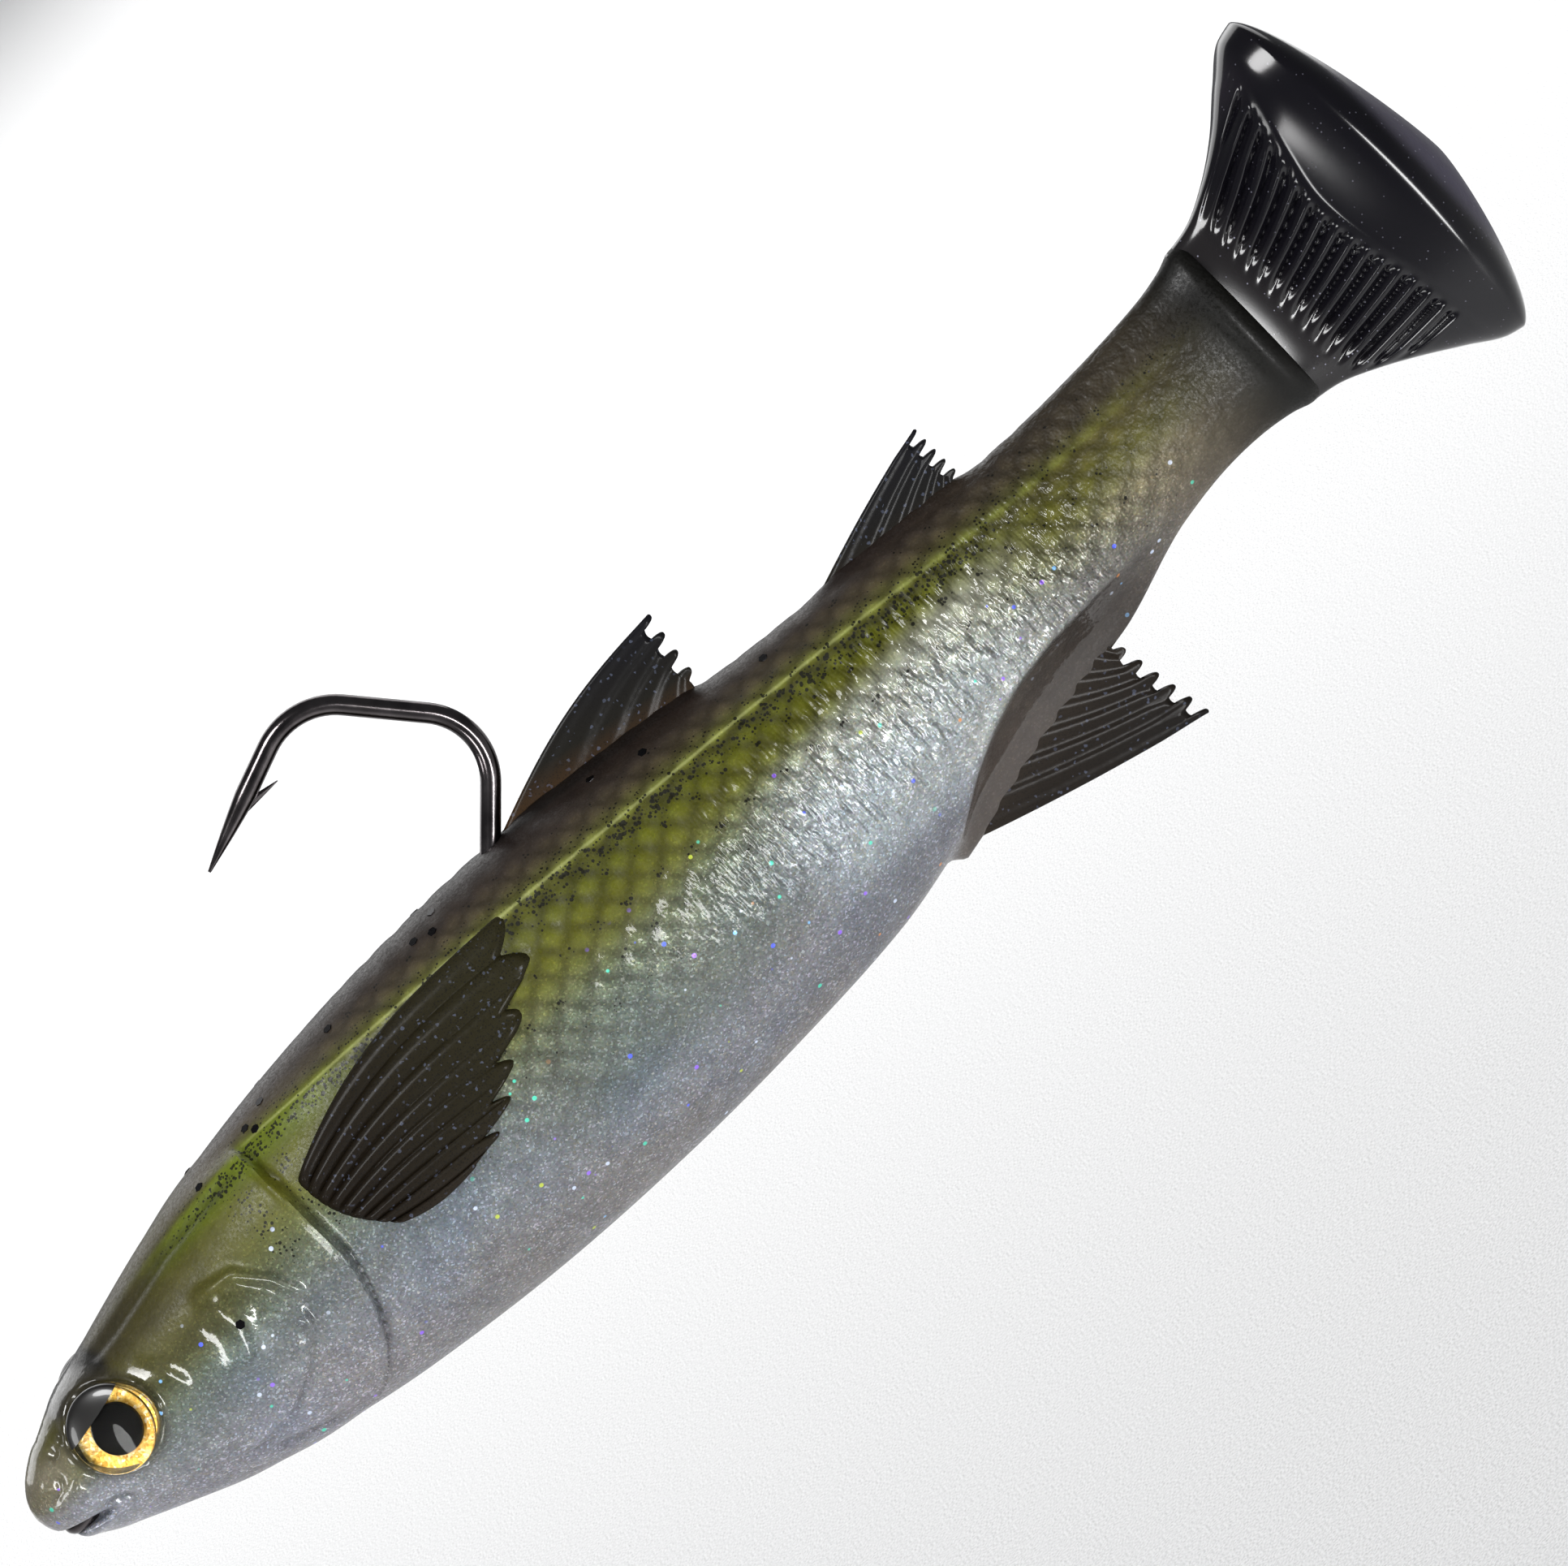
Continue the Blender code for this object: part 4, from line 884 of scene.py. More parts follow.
# The paint: bands by mm below the crest line, then patches over them, in order.
SKIN_BANDS = (
    (-8.0, "120e0c"), (-5.0, "221a16"), (-3.0, "332b25"), (-1.5, "433b2b"), (-0.5, "4f4e26"), (0.0, "666a2c"),
    (0.5, "4c4c16"), (1.2, "3a3a10"), (3.0, "50520f"), (5.0, "505015"), (6.5, "595a26"), (8.5, "5e6140"),
    (10.5, "676c5c"), (13.0, "696d6b"), (17.0, "737679"), (22.0, "7b7a7c"), (30.0, "767373"),
)
SKIN_PATCHES = (
    ("3d3818", Patch(0.8, ((33.0, 20.0),), ((0.0, 3.5),))),
    ("2b251b", Patch(0.75, ((24.0, 12.0),), ((5.0, 6.5),))),
    # Painted highlight: a pale patch on the rear flank, where the light glints off the wrinkled pearl.
    ("a9aaa2", Patch(0.7, ((74.0, 84.0), (110.0, 98.0)), ((3.5, 0.5), (-11.0, -7.0)))),
    ("77705f", Patch(0.75, ((9.0, 3.0),), ((4.8, 3.0),))),
    ("8f8c90", Patch(0.8, ((14.0, 6.0),), ((1.6, -1.0),))),
    ("8c888c", Patch(0.7, ((40.0, 20.0),), ((-2.0, -7.0),))),
    ("4c5246", Patch(0.6, ((46.0, 56.0), (82.0, 72.0)), ((3.0, 0.5), (-10.0, -5.0)))),
    ("332d22", Patch(0.7, ((98.0, 122.0),), ((2.5, 4.5),))),
    ("4b4424", Patch(0.8, ((98.0, 122.0),), ((4.0, 2.5), (-2.0, 1.5)))),
    ("6c604e", Patch(0.8, ((98.0, 122.0),), ((0.5, -3.0),))),
    ("2c271e", Patch(0.75, ((118.0, 126.0),))),
    ("050504", Patch(0.97, ((123.5, 130.5),))),
)
# These are placed by mm below the crest line: the green glow, and the pepper's two bands.
GREEN_GLOW = Patch(0.8, ((18.0, 26.0), (46.0, 36.0)), ((3.6, 1.4), (-0.6, 0.2)))
PEPPER_BANDS = (
    Patch(0.95, ((17.0, 30.0), (116.0, 100.0)), ((0.0, 0.4), (2.6, 1.6))),
    Patch(0.5, ((12.0, 24.0),), ((-2.4, -1.0), (0.0, -0.5))),
)
PEPPER_COLUMNS = (
    (29.5, Patch(0.7, level=((1.0, 4.0), (10.0, 8.0)))),
    (34.0, Patch(0.7, level=((1.0, 3.0), (9.5, 8.0)))),
)
WET_PATCHES = (
    Patch(0.6, ((34.0, 26.0),), ((5.5, 3.5), (-5.5, -3.5))),
    Patch(0.5, ((78.0, 88.0), (113.0, 104.0)), ((3.4, 2.2),)),
    Patch(0.6, ((9.0, 5.0),)),
    Patch(-0.28, ((8.0, 12.0),), ((3.0, 5.5),)),
    Patch(-0.29, ((110.0, 116.0),)),
)
SCALED = Patch(1.0, ((36.0, 50.0), (124.0, 112.0)), ((-9.0, -3.0),))
SMOOTHED = Patch(0.85, ((86.0, 76.0),), ((1.5, -1.0),))
NETTED = Patch(1.0, ((34.0, 48.0), (128.0, 112.0)))
WRINKLED = Patch(1.0, ((66.0, 86.0), (117.0, 104.0)), ((5.4, 3.4), (-9.0, -5.0)))
LUMPY = Patch(0.85, ((100.0, 112.0), (130.0, 124.0)))


@dataclass
class Skin:
    """The soft body from the nose to the tail's collar, with its moulded relief. Sizes are in mm."""

    form: BodyForm
    collar: float = 132.4
    collar_rise: float = 0.2
    collar_middle: float = -0.45
    tuck: float = 1.3
    turn_in: float = 0.985
    even: float = 0.62
    crowd: float = 0.35
    stations: int = 430
    around: int = 208
    eye: tuple[float, float] = (10.1, 2.5)
    eye_radius: float = 3.5
    eye_stretch: float = 1.04
    socket_depth: float = 1.25
    socket_ring: float = 0.38
    gill_rise: float = 0.6
    gill_lip: float = 0.20
    gill_groove: float = 0.26
    scale_depth: float = 0.09
    web_drop: float = 1.3
    root_rise: float = 0.55
    mouth_depth: float = 2.4
    mouth_high: float = 0.30
    bend_reach: float = 0.009

    def relief(self, station: np.ndarray, level: np.ndarray) -> np.ndarray:
        """Return how far the moulded detail moves the skin out, in mm."""
        past = station - GILL_EDGE(level)
        tall = Patch(1.0, level=GILL_SPAN).share(station, level)
        lift = self.gill_rise * ease(past, 0.22, -0.22) * ease(past, -11.0, -1.0) * tall
        lift += (self.gill_lip * bell(past, -0.35, 0.30) - self.gill_groove * bell(past, 0.36, 0.22)) * tall
        for crest in CRESTS:
            lift += crest.lift(station, level)
        away = np.hypot(station - self.eye[0], (level - self.eye[1]) * self.eye_stretch) - self.eye_radius
        lift -= self.socket_depth * ease(away, 0.15, -0.35)
        lift += self.socket_ring * bell(away, 0.42, 0.26) * ease(level, 5.6, 3.6)
        along, down = station / SCALE_LONG, (CREST_LINE(station) - level) / SCALE_HIGH
        rising, falling = (0.5 + 0.5 * np.cos(2 * math.pi * turns) for turns in (along + down, along - down))
        scales = rising * falling * (1 - SMOOTHED.share(station, level))
        return lift - self.scale_depth * scales * SCALED.share(station, level)

    def flesh(self, station: np.ndarray, level: np.ndarray) -> np.ndarray:
        """Return 1 on the web of plastic that runs down to the anal fin, below its crease."""
        edge = WEB_EDGE(station)
        return ease(level, edge + 0.25, edge - 0.6) * ease(station, 85.0, 87.5) * ease(station, 118.0, 108.0)

    def section(self, station: np.ndarray, angle: np.ndarray) -> tuple[np.ndarray, np.ndarray]:
        """Return the section's half width and height, thin over the web and raised under the dorsal fins."""
        half, level = self.form.section(station, angle)
        web, edge = self.flesh(station, level), WEB_EDGE(station)
        belly = self.form.sizes(station)[1]
        deep = ease(level, edge + 0.2, np.minimum(belly + 0.4, edge - 1.0))
        half = half * (1 - 0.10 * web - 0.48 * web * deep)
        degrees = np.degrees(angle)
        level = level - self.web_drop * web * ease(degrees, 150.0, 180.0)
        ridge = sum(Patch(1.0, ends).share(station, level) for ends in FIN_ROOTS)
        return half, level + self.root_rise * ridge * ease(degrees, 16.0, 0.0)

    def shape(self, u: np.ndarray, v: np.ndarray) -> np.ndarray:
        """Return the skin's points for the grid's coordinates."""
        station = self.station_of(u)
        share = np.where(v <= 0.5, v, 1 - v) * 2
        angle = math.pi * (share + self.crowd * np.sin(2 * math.pi * share) / (2 * math.pi))
        half, level = self.section(station, angle)
        lift = self.relief(station, level) + self.collar_rise * bell(station, self.collar - 1.2, 0.9)
        half = half + lift * np.sin(angle)
        level = level + lift * np.cos(angle)
        back_in = self.back_in(u)
        half = half * (1 - back_in * 0.5)
        level = self.collar_middle + (level - self.collar_middle) * (1 - back_in * 0.18)
        gape = self.gape(station, level)
        half = half * (1 - 0.5 * gape * ease(station, 6.2, 3.0))
        station = station + self.mouth_depth * gape * ease(station, 4.5, 0.2)
        return self.form.world(station, half * np.where(v <= 0.5, -1.0, 1.0), level)

    def gape(self, station: np.ndarray, level: np.ndarray) -> np.ndarray:
        """Return 1 on the line of the mouth, at the height of the hook's line tie, and 0 away from it."""
        tie = -self.form.nose.z / MM
        line = tie - 0.05 - 0.12 * np.clip(station, 0.0, 6.0)
        return np.exp(-(((level - line) / self.mouth_high) ** 2)) * ease(station, 6.4, 4.6)

    def back_in(self, u: np.ndarray) -> np.ndarray:
        """Return how far the skin has turned back in behind the collar, from 0 to 1."""
        return np.clip((u - self.turn_in) / (1 - self.turn_in), 0.0, 1.0)

    def station_of(self, u: np.ndarray) -> np.ndarray:
        """Return the station at a grid coordinate: close together on the head, then turned in."""
        share = np.clip(u / self.turn_in, 0.0, 1.0)
        reach = self.collar * (share * self.even + (1 - self.even) * share ** 2)
        back_in = self.back_in(u)
        return np.maximum(reach, 0.02) - self.tuck * back_in + 0.25 * np.sin(back_in * math.pi)

    def arc(self, station: np.ndarray, angle: np.ndarray) -> np.ndarray:
        """Return the way round the smooth skin from the crest line, down positive, in mm."""
        steps = np.linspace(0.0, math.pi, 61)
        rows = np.linspace(1.0, self.collar, 90)
        half, level = self.form.section(rows[:, None], steps[None, :])
        parts = np.hypot(np.diff(half, axis=1), np.diff(level, axis=1))
        reach = np.concatenate([np.zeros((len(rows), 1)), np.cumsum(parts, axis=1)], axis=1)
        starts = self.form.angle_at(rows, CREST_LINE(rows))
        reach -= np.array([np.interp(start, steps, row) for start, row in zip(starts, reach)])[:, None]
        last = 1.001
        i = np.clip((station - rows[0]) / (rows[1] - rows[0]), 0, len(rows) - last)
        j = np.clip(angle / steps[1], 0, len(steps) - last)
        i0, j0 = i.astype(int), j.astype(int)
        fi, fj = i - i0, j - j0
        near = reach[i0, j0] * (1 - fj) + reach[i0, j0 + 1] * fj
        far = reach[i0 + 1, j0] * (1 - fj) + reach[i0 + 1, j0 + 1] * fj
        return near * (1 - fi) + far * fi

    def tints(
        self, station: np.ndarray, level: np.ndarray, down: np.ndarray,
    ) -> tuple[np.ndarray, np.ndarray]:
        """Work out the paint.

        Args:
            station: mm behind the nose.
            level: height over the axis, in mm.
            down: the way round the skin below the crest line, in mm.

        Returns:
            The tint of each point, and its marks: pepper, pearl and scales.
        """
        squeeze = 1 - 0.36 * ease(station, 60.0, 84.0)
        depth = np.where(down > 0, down / squeeze, down)
        stops = [stop for stop, _ in SKIN_BANDS]
        bands = np.array([linear(code) for _, code in SKIN_BANDS])
        tint = np.stack([np.interp(depth, stops, bands[:, i]) for i in range(3)], -1)
        for code, share in self.coats(station, level, down):
            tint = toward(tint, code, share)
        pepper = sum(band.share(station, down) for band in PEPPER_BANDS)
        for middle, column in PEPPER_COLUMNS:
            pepper += bell(station, middle, 1.6) * column.share(station, level)
        pearl = ease(depth, 4.5, 11.0) * ease(station, 126.0, 112.0) * (1 - 0.75 * self.flesh(station, level))
        pearl = np.where(station < 36.0, np.maximum(pearl, ease(level, 5.0, 0.0) * 0.9), pearl)
        scales = NETTED.share(station, level) * ease(down, -5.5, -1.5) * ease(depth, 18.0, 8.0)
        return tint, np.stack([np.clip(pepper, 0.0, 1.0), pearl, scales], -1)

    def coats(
        self, station: np.ndarray, level: np.ndarray, down: np.ndarray,
    ) -> list[tuple[str, np.ndarray]]:
        """Return the paint over the bands, in order: each display colour and its share at each point."""
        coats = [(code, patch.share(station, level)) for code, patch in SKIN_PATCHES]
        brow = np.hypot((station - 9.6) / 3.9, (level - 6.5) / 1.7)
        web = self.flesh(station, level)
        # Painted shade in the groove just behind the gill cover's edge.
        groove = bell(station - GILL_EDGE(level), 0.40, 0.2)
        groove = groove * Patch(0.4, level=((11.2, 9.8), (-12.6, -10.0))).share(station, level)
        # The narrow crests; where they press into the skin, it gets painted shade.
        fine = [crest.lift(station, level) for crest in CRESTS if crest.width < 0.5]
        return coats + [
            ("5a6616", GREEN_GLOW.share(station, down)),
            # Painted shade: near black inside the open front of the mouth slit.
            ("0c0b0a", self.gape(station, level) ** 2 * ease(station, 3.6, 2.4)),
            ("0b0a08", ease(brow, 1.05, 0.75) * 0.95),
            ("2b2615", ease(self.from_eye(station, level), 1.3, 0.2) * 0.75),
            ("3d332b", web * 0.92),
            ("221d19", web * ease(station, 96.0, 107.0) * 0.6),
            # Painted shade in the gill cover's groove.
            ("25231a", groove),
            # Painted shade in the narrow moulded lines that press into the skin.
            ("24221c", -np.minimum(sum(fine), 0.0) * 1.1),
        ]

    def from_eye(self, station: np.ndarray, level: np.ndarray) -> np.ndarray:
        """Return the distance outside the eye's rim, in mm."""
        return np.hypot(station - self.eye[0], level - self.eye[1]) - self.eye_radius

    def gloss(self, station: np.ndarray, level: np.ndarray) -> np.ndarray:
        """Return the clear coat's weight: low on the back and the stalk, high on the cheek and the flank."""
        wet = 0.30 + sum(patch.share(station, level) for patch in WET_PATCHES)
        wet += 0.6 * ease(self.from_eye(station, level), 1.4, 0.8)
        return np.clip(wet, 0.02, 1.0)

    def feel(self, station: np.ndarray, level: np.ndarray) -> tuple[np.ndarray, np.ndarray]:
        """Return how far the skin is wrinkled, on the rear flank, and lumpy, on the stalk."""
        wrinkles = WRINKLED.share(station, level) * (1 - self.flesh(station, level))
        return wrinkles, 0.15 + LUMPY.share(station, level)

    def build(self, finish: bpy.types.Material) -> bpy.types.Object:
        """Model and paint the skin."""
        bm = mapped_grid(self.stations, self.around, self.shape)
        close(bm)
        piece = settle("soft_body", bm, finish, 60.0)
        points = (points_of(piece) - np.array(self.form.nose)) / MM
        station, level = points[:, 0], points[:, 2]
        down = self.arc(station, self.form.angle_at(station, level))
        tint, marks = self.tints(station, level, down)
        paint(piece, "tint", tint)
        paint(piece, "marks", marks)
        paint(piece, "net", np.stack([station, down, self.gloss(station, level)], -1))
        wrinkles, lumps = self.feel(station, level)
        paint(piece, "feel", np.stack([wrinkles, lumps, np.zeros_like(lumps)], -1))
        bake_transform(piece)
        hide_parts("front_body", "tail_stalk")
        return piece


@dataclass
class WedgeTail:
    """The tail: a wrist, a fan of moulded flutes and a deep rounded wedge. Sizes are in mm."""

    form: BodyForm
    start: float = -2.2
    round_from: float = 0.74
    low_point: float = -1.4
    wrist: float = 2.2
    up: float = 17.4
    down: float = 16.6
    wide: float = 7.5
    flutes: int = 16
    flute_top: float = 9.0
    flute_span: float = 19.6
    flute_depth: float = 0.62
    flute_rise: float = 0.12
    pad_rise: float = 0.25
    bend_reach: float = 0.0018
    stations: int = 210
    around: int = 440
    upper: Line = Line((
        (-0.2, 0.44), (0.026, 0.475), (0.19, 0.56), (0.35, 0.68), (0.513, 0.84), (0.66, 0.965), (1.0, 1.0),
    ))
    lower: Line = Line((
        (-0.2, 0.50), (0.026, 0.54), (0.19, 0.62), (0.35, 0.72), (0.513, 0.835), (0.68, 0.95), (1.0, 1.0),
    ))
    width: Line = Line((
        (-0.2, 0.0), (0.0, 0.0), (0.1, 0.04), (0.2, 0.14), (0.5, 0.55), (0.8, 0.97), (1.0, 1.0),
    ))
    flute_end: Line = Line((
        (-16.0, 145.0), (-10.3, 144.0), (-5.7, 143.3), (-2.0, 142.4),
        (3.3, 141.8), (7.4, 142.4), (12.4, 143.6), (16.0, 145.0),
    ))

    def relief(
        self, station: np.ndarray, level: np.ndarray, share: np.ndarray, flat: np.ndarray,
    ) -> np.ndarray:
        """Work out the flutes, and the smooth pad behind them.

        Args:
            station: mm behind the nose.
            level: height over the axis, in mm.
            share: the way along the tail, from its hinge to its rear.
            flat: 1 on the middle of a face and 0 on the middle plane.

        Returns:
            How far the face moves out, in mm.
        """
        slope = np.radians(30.0 - 26.0 * np.clip((self.flute_top - level) / 20.0, 0.0, 1.0))
        home = level - np.tan(slope) * (station - self.form.length - 2.0)
        phase = (home - self.flute_top) / (self.flute_span / (self.flutes - 1))
        rib = (0.5 + 0.5 * np.cos(2 * math.pi * phase)) ** 0.6
        begin, end = self.form.length + 1.0, self.flute_end(level)
        window = ease(station, begin, begin + 2.8) * ease(station, end + 0.15, end - 0.9)
        window *= ease(home, 10.6, 9.4) * ease(home, -12.2, -11.0) * ease(flat, 0.2, 0.5)
        pad = ease(station, end - 0.4, end + 0.6) * ease(share, 0.9, 0.7) * ease(flat, 0.3, 0.8)
        return (self.flute_rise * rib - self.flute_depth * (1 - rib)) * window + self.pad_rise * pad

    def shape(self, u: np.ndarray, v: np.ndarray) -> np.ndarray:
        """Return the tail's points for the grid's coordinates."""
        length = (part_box("wedge_tail")[1].x - joint_place("tail_kick").x) / MM
        share = self.start / length + (1 - self.start / length) * np.sin(u * math.pi / 2) ** 0.9
        late = np.clip((share - self.round_from) / (1 - self.round_from), 0.0, 1.0)
        full = np.clip(1 - late ** 1.5, 0.0, 1.0) ** 0.8
        upper = self.low_point + (self.upper(share) * self.up - self.low_point) * full
        lower = self.low_point + (-self.lower(share) * self.down - self.low_point) * full
        half = self.wrist + (self.wide - self.wrist) * self.width(share)
        half = half * rounded(share, self.round_from, 1.0)
        turn = v * 2 * math.pi
        flat = np.abs(np.sin(turn))
        level = (upper + lower) / 2 + (upper - lower) / 2 * np.cos(turn)
        station = self.form.length + share * length
        out = half * flat ** 0.75 + self.relief(station, level, share, flat)
        return self.form.world(station, out * np.where(turn <= math.pi, -1.0, 1.0), level)

    def build(self, finish: bpy.types.Material) -> bpy.types.Object:
        """Model and paint the tail."""
        bm = mapped_grid(self.stations, self.around, self.shape)
        close(bm)
        piece = settle("wedge_tail_skin", bm, finish, 60.0)
        station, _, level = ((points_of(piece) - np.array(self.form.nose)) / MM).T
        height = np.abs(level) / max(np.abs(level).max(), 1.0)
        rim = ease(station, 149.0, 150.6)
        tint = np.tile(linear("0b0a0f"), (len(station), 1))
        tint = toward(tint, "1d1b1c", ease(station, 138.0, 133.0))
        tint = toward(tint, "4a4755", rim)
        tint = toward(tint, "3f3a42", ease(height, 0.7, 0.95) * ease(station, 146.0, 140.0) * 0.6)
        paint(piece, "tint", tint)
        dust = np.clip(0.35 + ease(station, 142.0, 134.0) + rim, 0.0, 1.0)
        paint(piece, "marks", np.stack([dust, rim, np.zeros_like(rim)], -1))
        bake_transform(piece)
        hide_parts("wedge_tail")
        return piece


@dataclass
class MedianFin:
    """A blade on the fish's middle plane: curved rays that end in free tips. Sizes are in mm."""

    form: BodyForm
    name: str
    node: str
    body: str
    front: tuple[float, float]
    rear: tuple[float, float]
    top: tuple[float, float]
    bottom: tuple[float, float]
    rays: int
    tips: int
    bow: float
    codes: tuple[str, str, str]
    root_thick: float = 1.15
    edge_thick: float = 0.66
    tip_reach: float = 0.95
    finger: float = 0.24
    across: int = 190
    along: int = 120
    bend_from: float = 0.0006
    bend_to: float = 0.0030

    @property
    def up(self) -> float:
        """Return 1 for a fin on the back and -1 for one under the belly."""
        return 1.0 if self.top[1] > self.front[1] else -1.0

    def plane(self, a: np.ndarray, b: np.ndarray) -> tuple[np.ndarray, np.ndarray]:
        """Return station and height on the blade: a runs across the rays, b from root to tip."""
        root = [s + (e - s) * a ** 0.85 for s, e in zip(self.front, self.rear)]
        tip = [s + (e - s) * a for s, e in zip(self.top, self.bottom)]
        phase = np.abs(np.mod(a * (self.tips - 0.55) - 0.15 + 0.5, 1.0) - 0.5)
        finger = np.clip(1 - (phase / self.finger) ** 3, 0.0, 1.0) ** 0.45
        ragged = (finger - 0.45 + 0.12 * np.cos(2 * math.pi * phase)) * self.tip_reach * ease(b, 0.82, 1.0)
        bend = np.sin(math.pi * b) * self.bow * (1 - a) ** 1.4 * self.up
        station = root[0] + (tip[0] - root[0]) * b + ragged
        level = root[1] + (tip[1] - root[1]) * (b + 0.10 * np.sin(math.pi * b)) + bend
        return station, level

    def shape(self, u: np.ndarray, v: np.ndarray) -> np.ndarray:
        """Return the blade's points. v goes out along one face and back along the other."""
        b = 1 - np.abs(2 * v - 1)
        station, level = self.plane(u, b)
        rib = 0.5 + 0.5 * np.cos(2 * math.pi * (u * self.rays - 0.1))
        thick = self.root_thick + (self.edge_thick - self.root_thick) * b ** 0.7
        thick = thick * (0.72 + 0.28 * rib) * np.sqrt(1 - (1 - 2 * np.minimum(u, 0.5)) ** 8)
        thick = thick * rounded(b, 0.965, 1.0) * rounded(u, 0.97, 1.0)
        out = thick / 2 * np.where(v < 0.5, -1.0, 1.0)
        return self.form.world(station, out, level)

    def build(self, finish: bpy.types.Material) -> bpy.types.Object:
        """Model and paint the blade."""
        bm = mapped_grid(self.across, self.along, self.shape)
        close(bm)
        piece = settle(self.name, bm, finish, 70.0)
        points = (points_of(piece) - np.array(self.form.nose)) / MM
        root = np.array(self.front)
        line = np.array(self.rear) - root
        normal = np.array([-line[1], line[0]]) / np.linalg.norm(line)
        height = np.abs((points[:, [0, 2]] - root) @ normal)
        reach = height / max(height.max(), 1e-6)
        codes = [linear(code) for code in self.codes]
        tint = np.stack([np.interp(reach, (0.0, 0.35, 1.0), [c[i] for c in codes]) for i in range(3)], -1)
        paint(piece, "tint", tint)
        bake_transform(piece)
        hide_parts(self.node)
        return piece


# The fan's tip: the way from the top ray to the bottom one, then its station and height in mm.
FAN_TIP = (
    (0.0, 58.6, 9.7), (0.025, 58.7, 9.5), (0.19, 57.5, 6.0), (0.36, 53.8, 3.3), (0.525, 50.8, 1.3),
    (0.69, 48.9, -0.4), (0.86, 46.2, -1.8), (1.0, 43.6, -2.3),
)


@dataclass
class PectoralFin:
    """A ribbed fan moulded against the flank. Sizes are in mm."""

    form: BodyForm
    side: Side
    rays: int = 9
    tips: int = 6
    thick: float = 0.85
    tip_reach: float = 2.2
    sunk: float = 0.25
    across: int = 170
    along: int = 110

    def place(self, a: np.ndarray, b: np.ndarray) -> tuple[np.ndarray, np.ndarray]:
        """Return station and height on the flank: a runs from the top ray down, b outwards."""
        root_station = 33.5 + 3.6 * a ** 2.2
        root_level = 6.4 - 7.6 * a ** 0.9
        stops, stations, levels = zip(*FAN_TIP)
        wave = np.abs(np.sin(math.pi * (a * self.tips + 0.35)))
        ragged = (wave - 0.6) * self.tip_reach * ease(b, 0.72, 1.0) * ease(a, 1.0, 0.85)
        arch = np.sin(math.pi * b ** 0.85) * (1.8 - 2.4 * a)
        station = root_station + (np.interp(a, stops, stations) - root_station) * b + ragged
        return station, root_level + (np.interp(a, stops, levels) - root_level) * b + arch

    def shape(self, u: np.ndarray, v: np.ndarray) -> np.ndarray:
        """Return the fan's points. v goes out on the skin side and back on the outer side."""
        b = 1 - np.abs(2 * v - 1)
        station, level = self.place(u, b)
        angle = self.form.angle_at(station, level)
        rib = np.abs(np.sin(math.pi * u * self.rays)) ** 0.6
        edges = rounded(np.minimum(u, 1 - u), 0.035, 0.0) * rounded(b, 0.93, 1.0) * rounded(b, 0.05, 0.0)
        top = self.thick * (1.15 - 0.5 * b) * (0.45 + 0.55 * rib) * edges - 0.12
        lift = np.where(v < 0.5, -self.sunk, np.maximum(top, 0.01 - self.sunk))
        return self.form.on_skin(station, angle, self.side, lift)

    def build(self, finish: bpy.types.Material) -> bpy.types.Object:
        """Model and paint the fan."""
        bm = mapped_grid(self.across, self.along, self.shape)
        close(bm)
        name = f"{self.side.name.lower()}_pectoral_fan"
        piece = settle(name, bm, finish, 70.0)
        station, _, level = ((points_of(piece) - np.array(self.form.nose)) / MM).T
        tint = np.tile(linear("150f07"), (len(station), 1))
        tint = toward(tint, "211e0c", ease(station, 36.0, 58.0))
        paint(piece, "tint", toward(tint, "251f18", ease(level, 1.0, -3.0) * 0.6))
        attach(piece, "front")
        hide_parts(f"{self.side.name.lower()}_pectoral_fin")
        return piece


# ------------------------------------------------------------------ hook


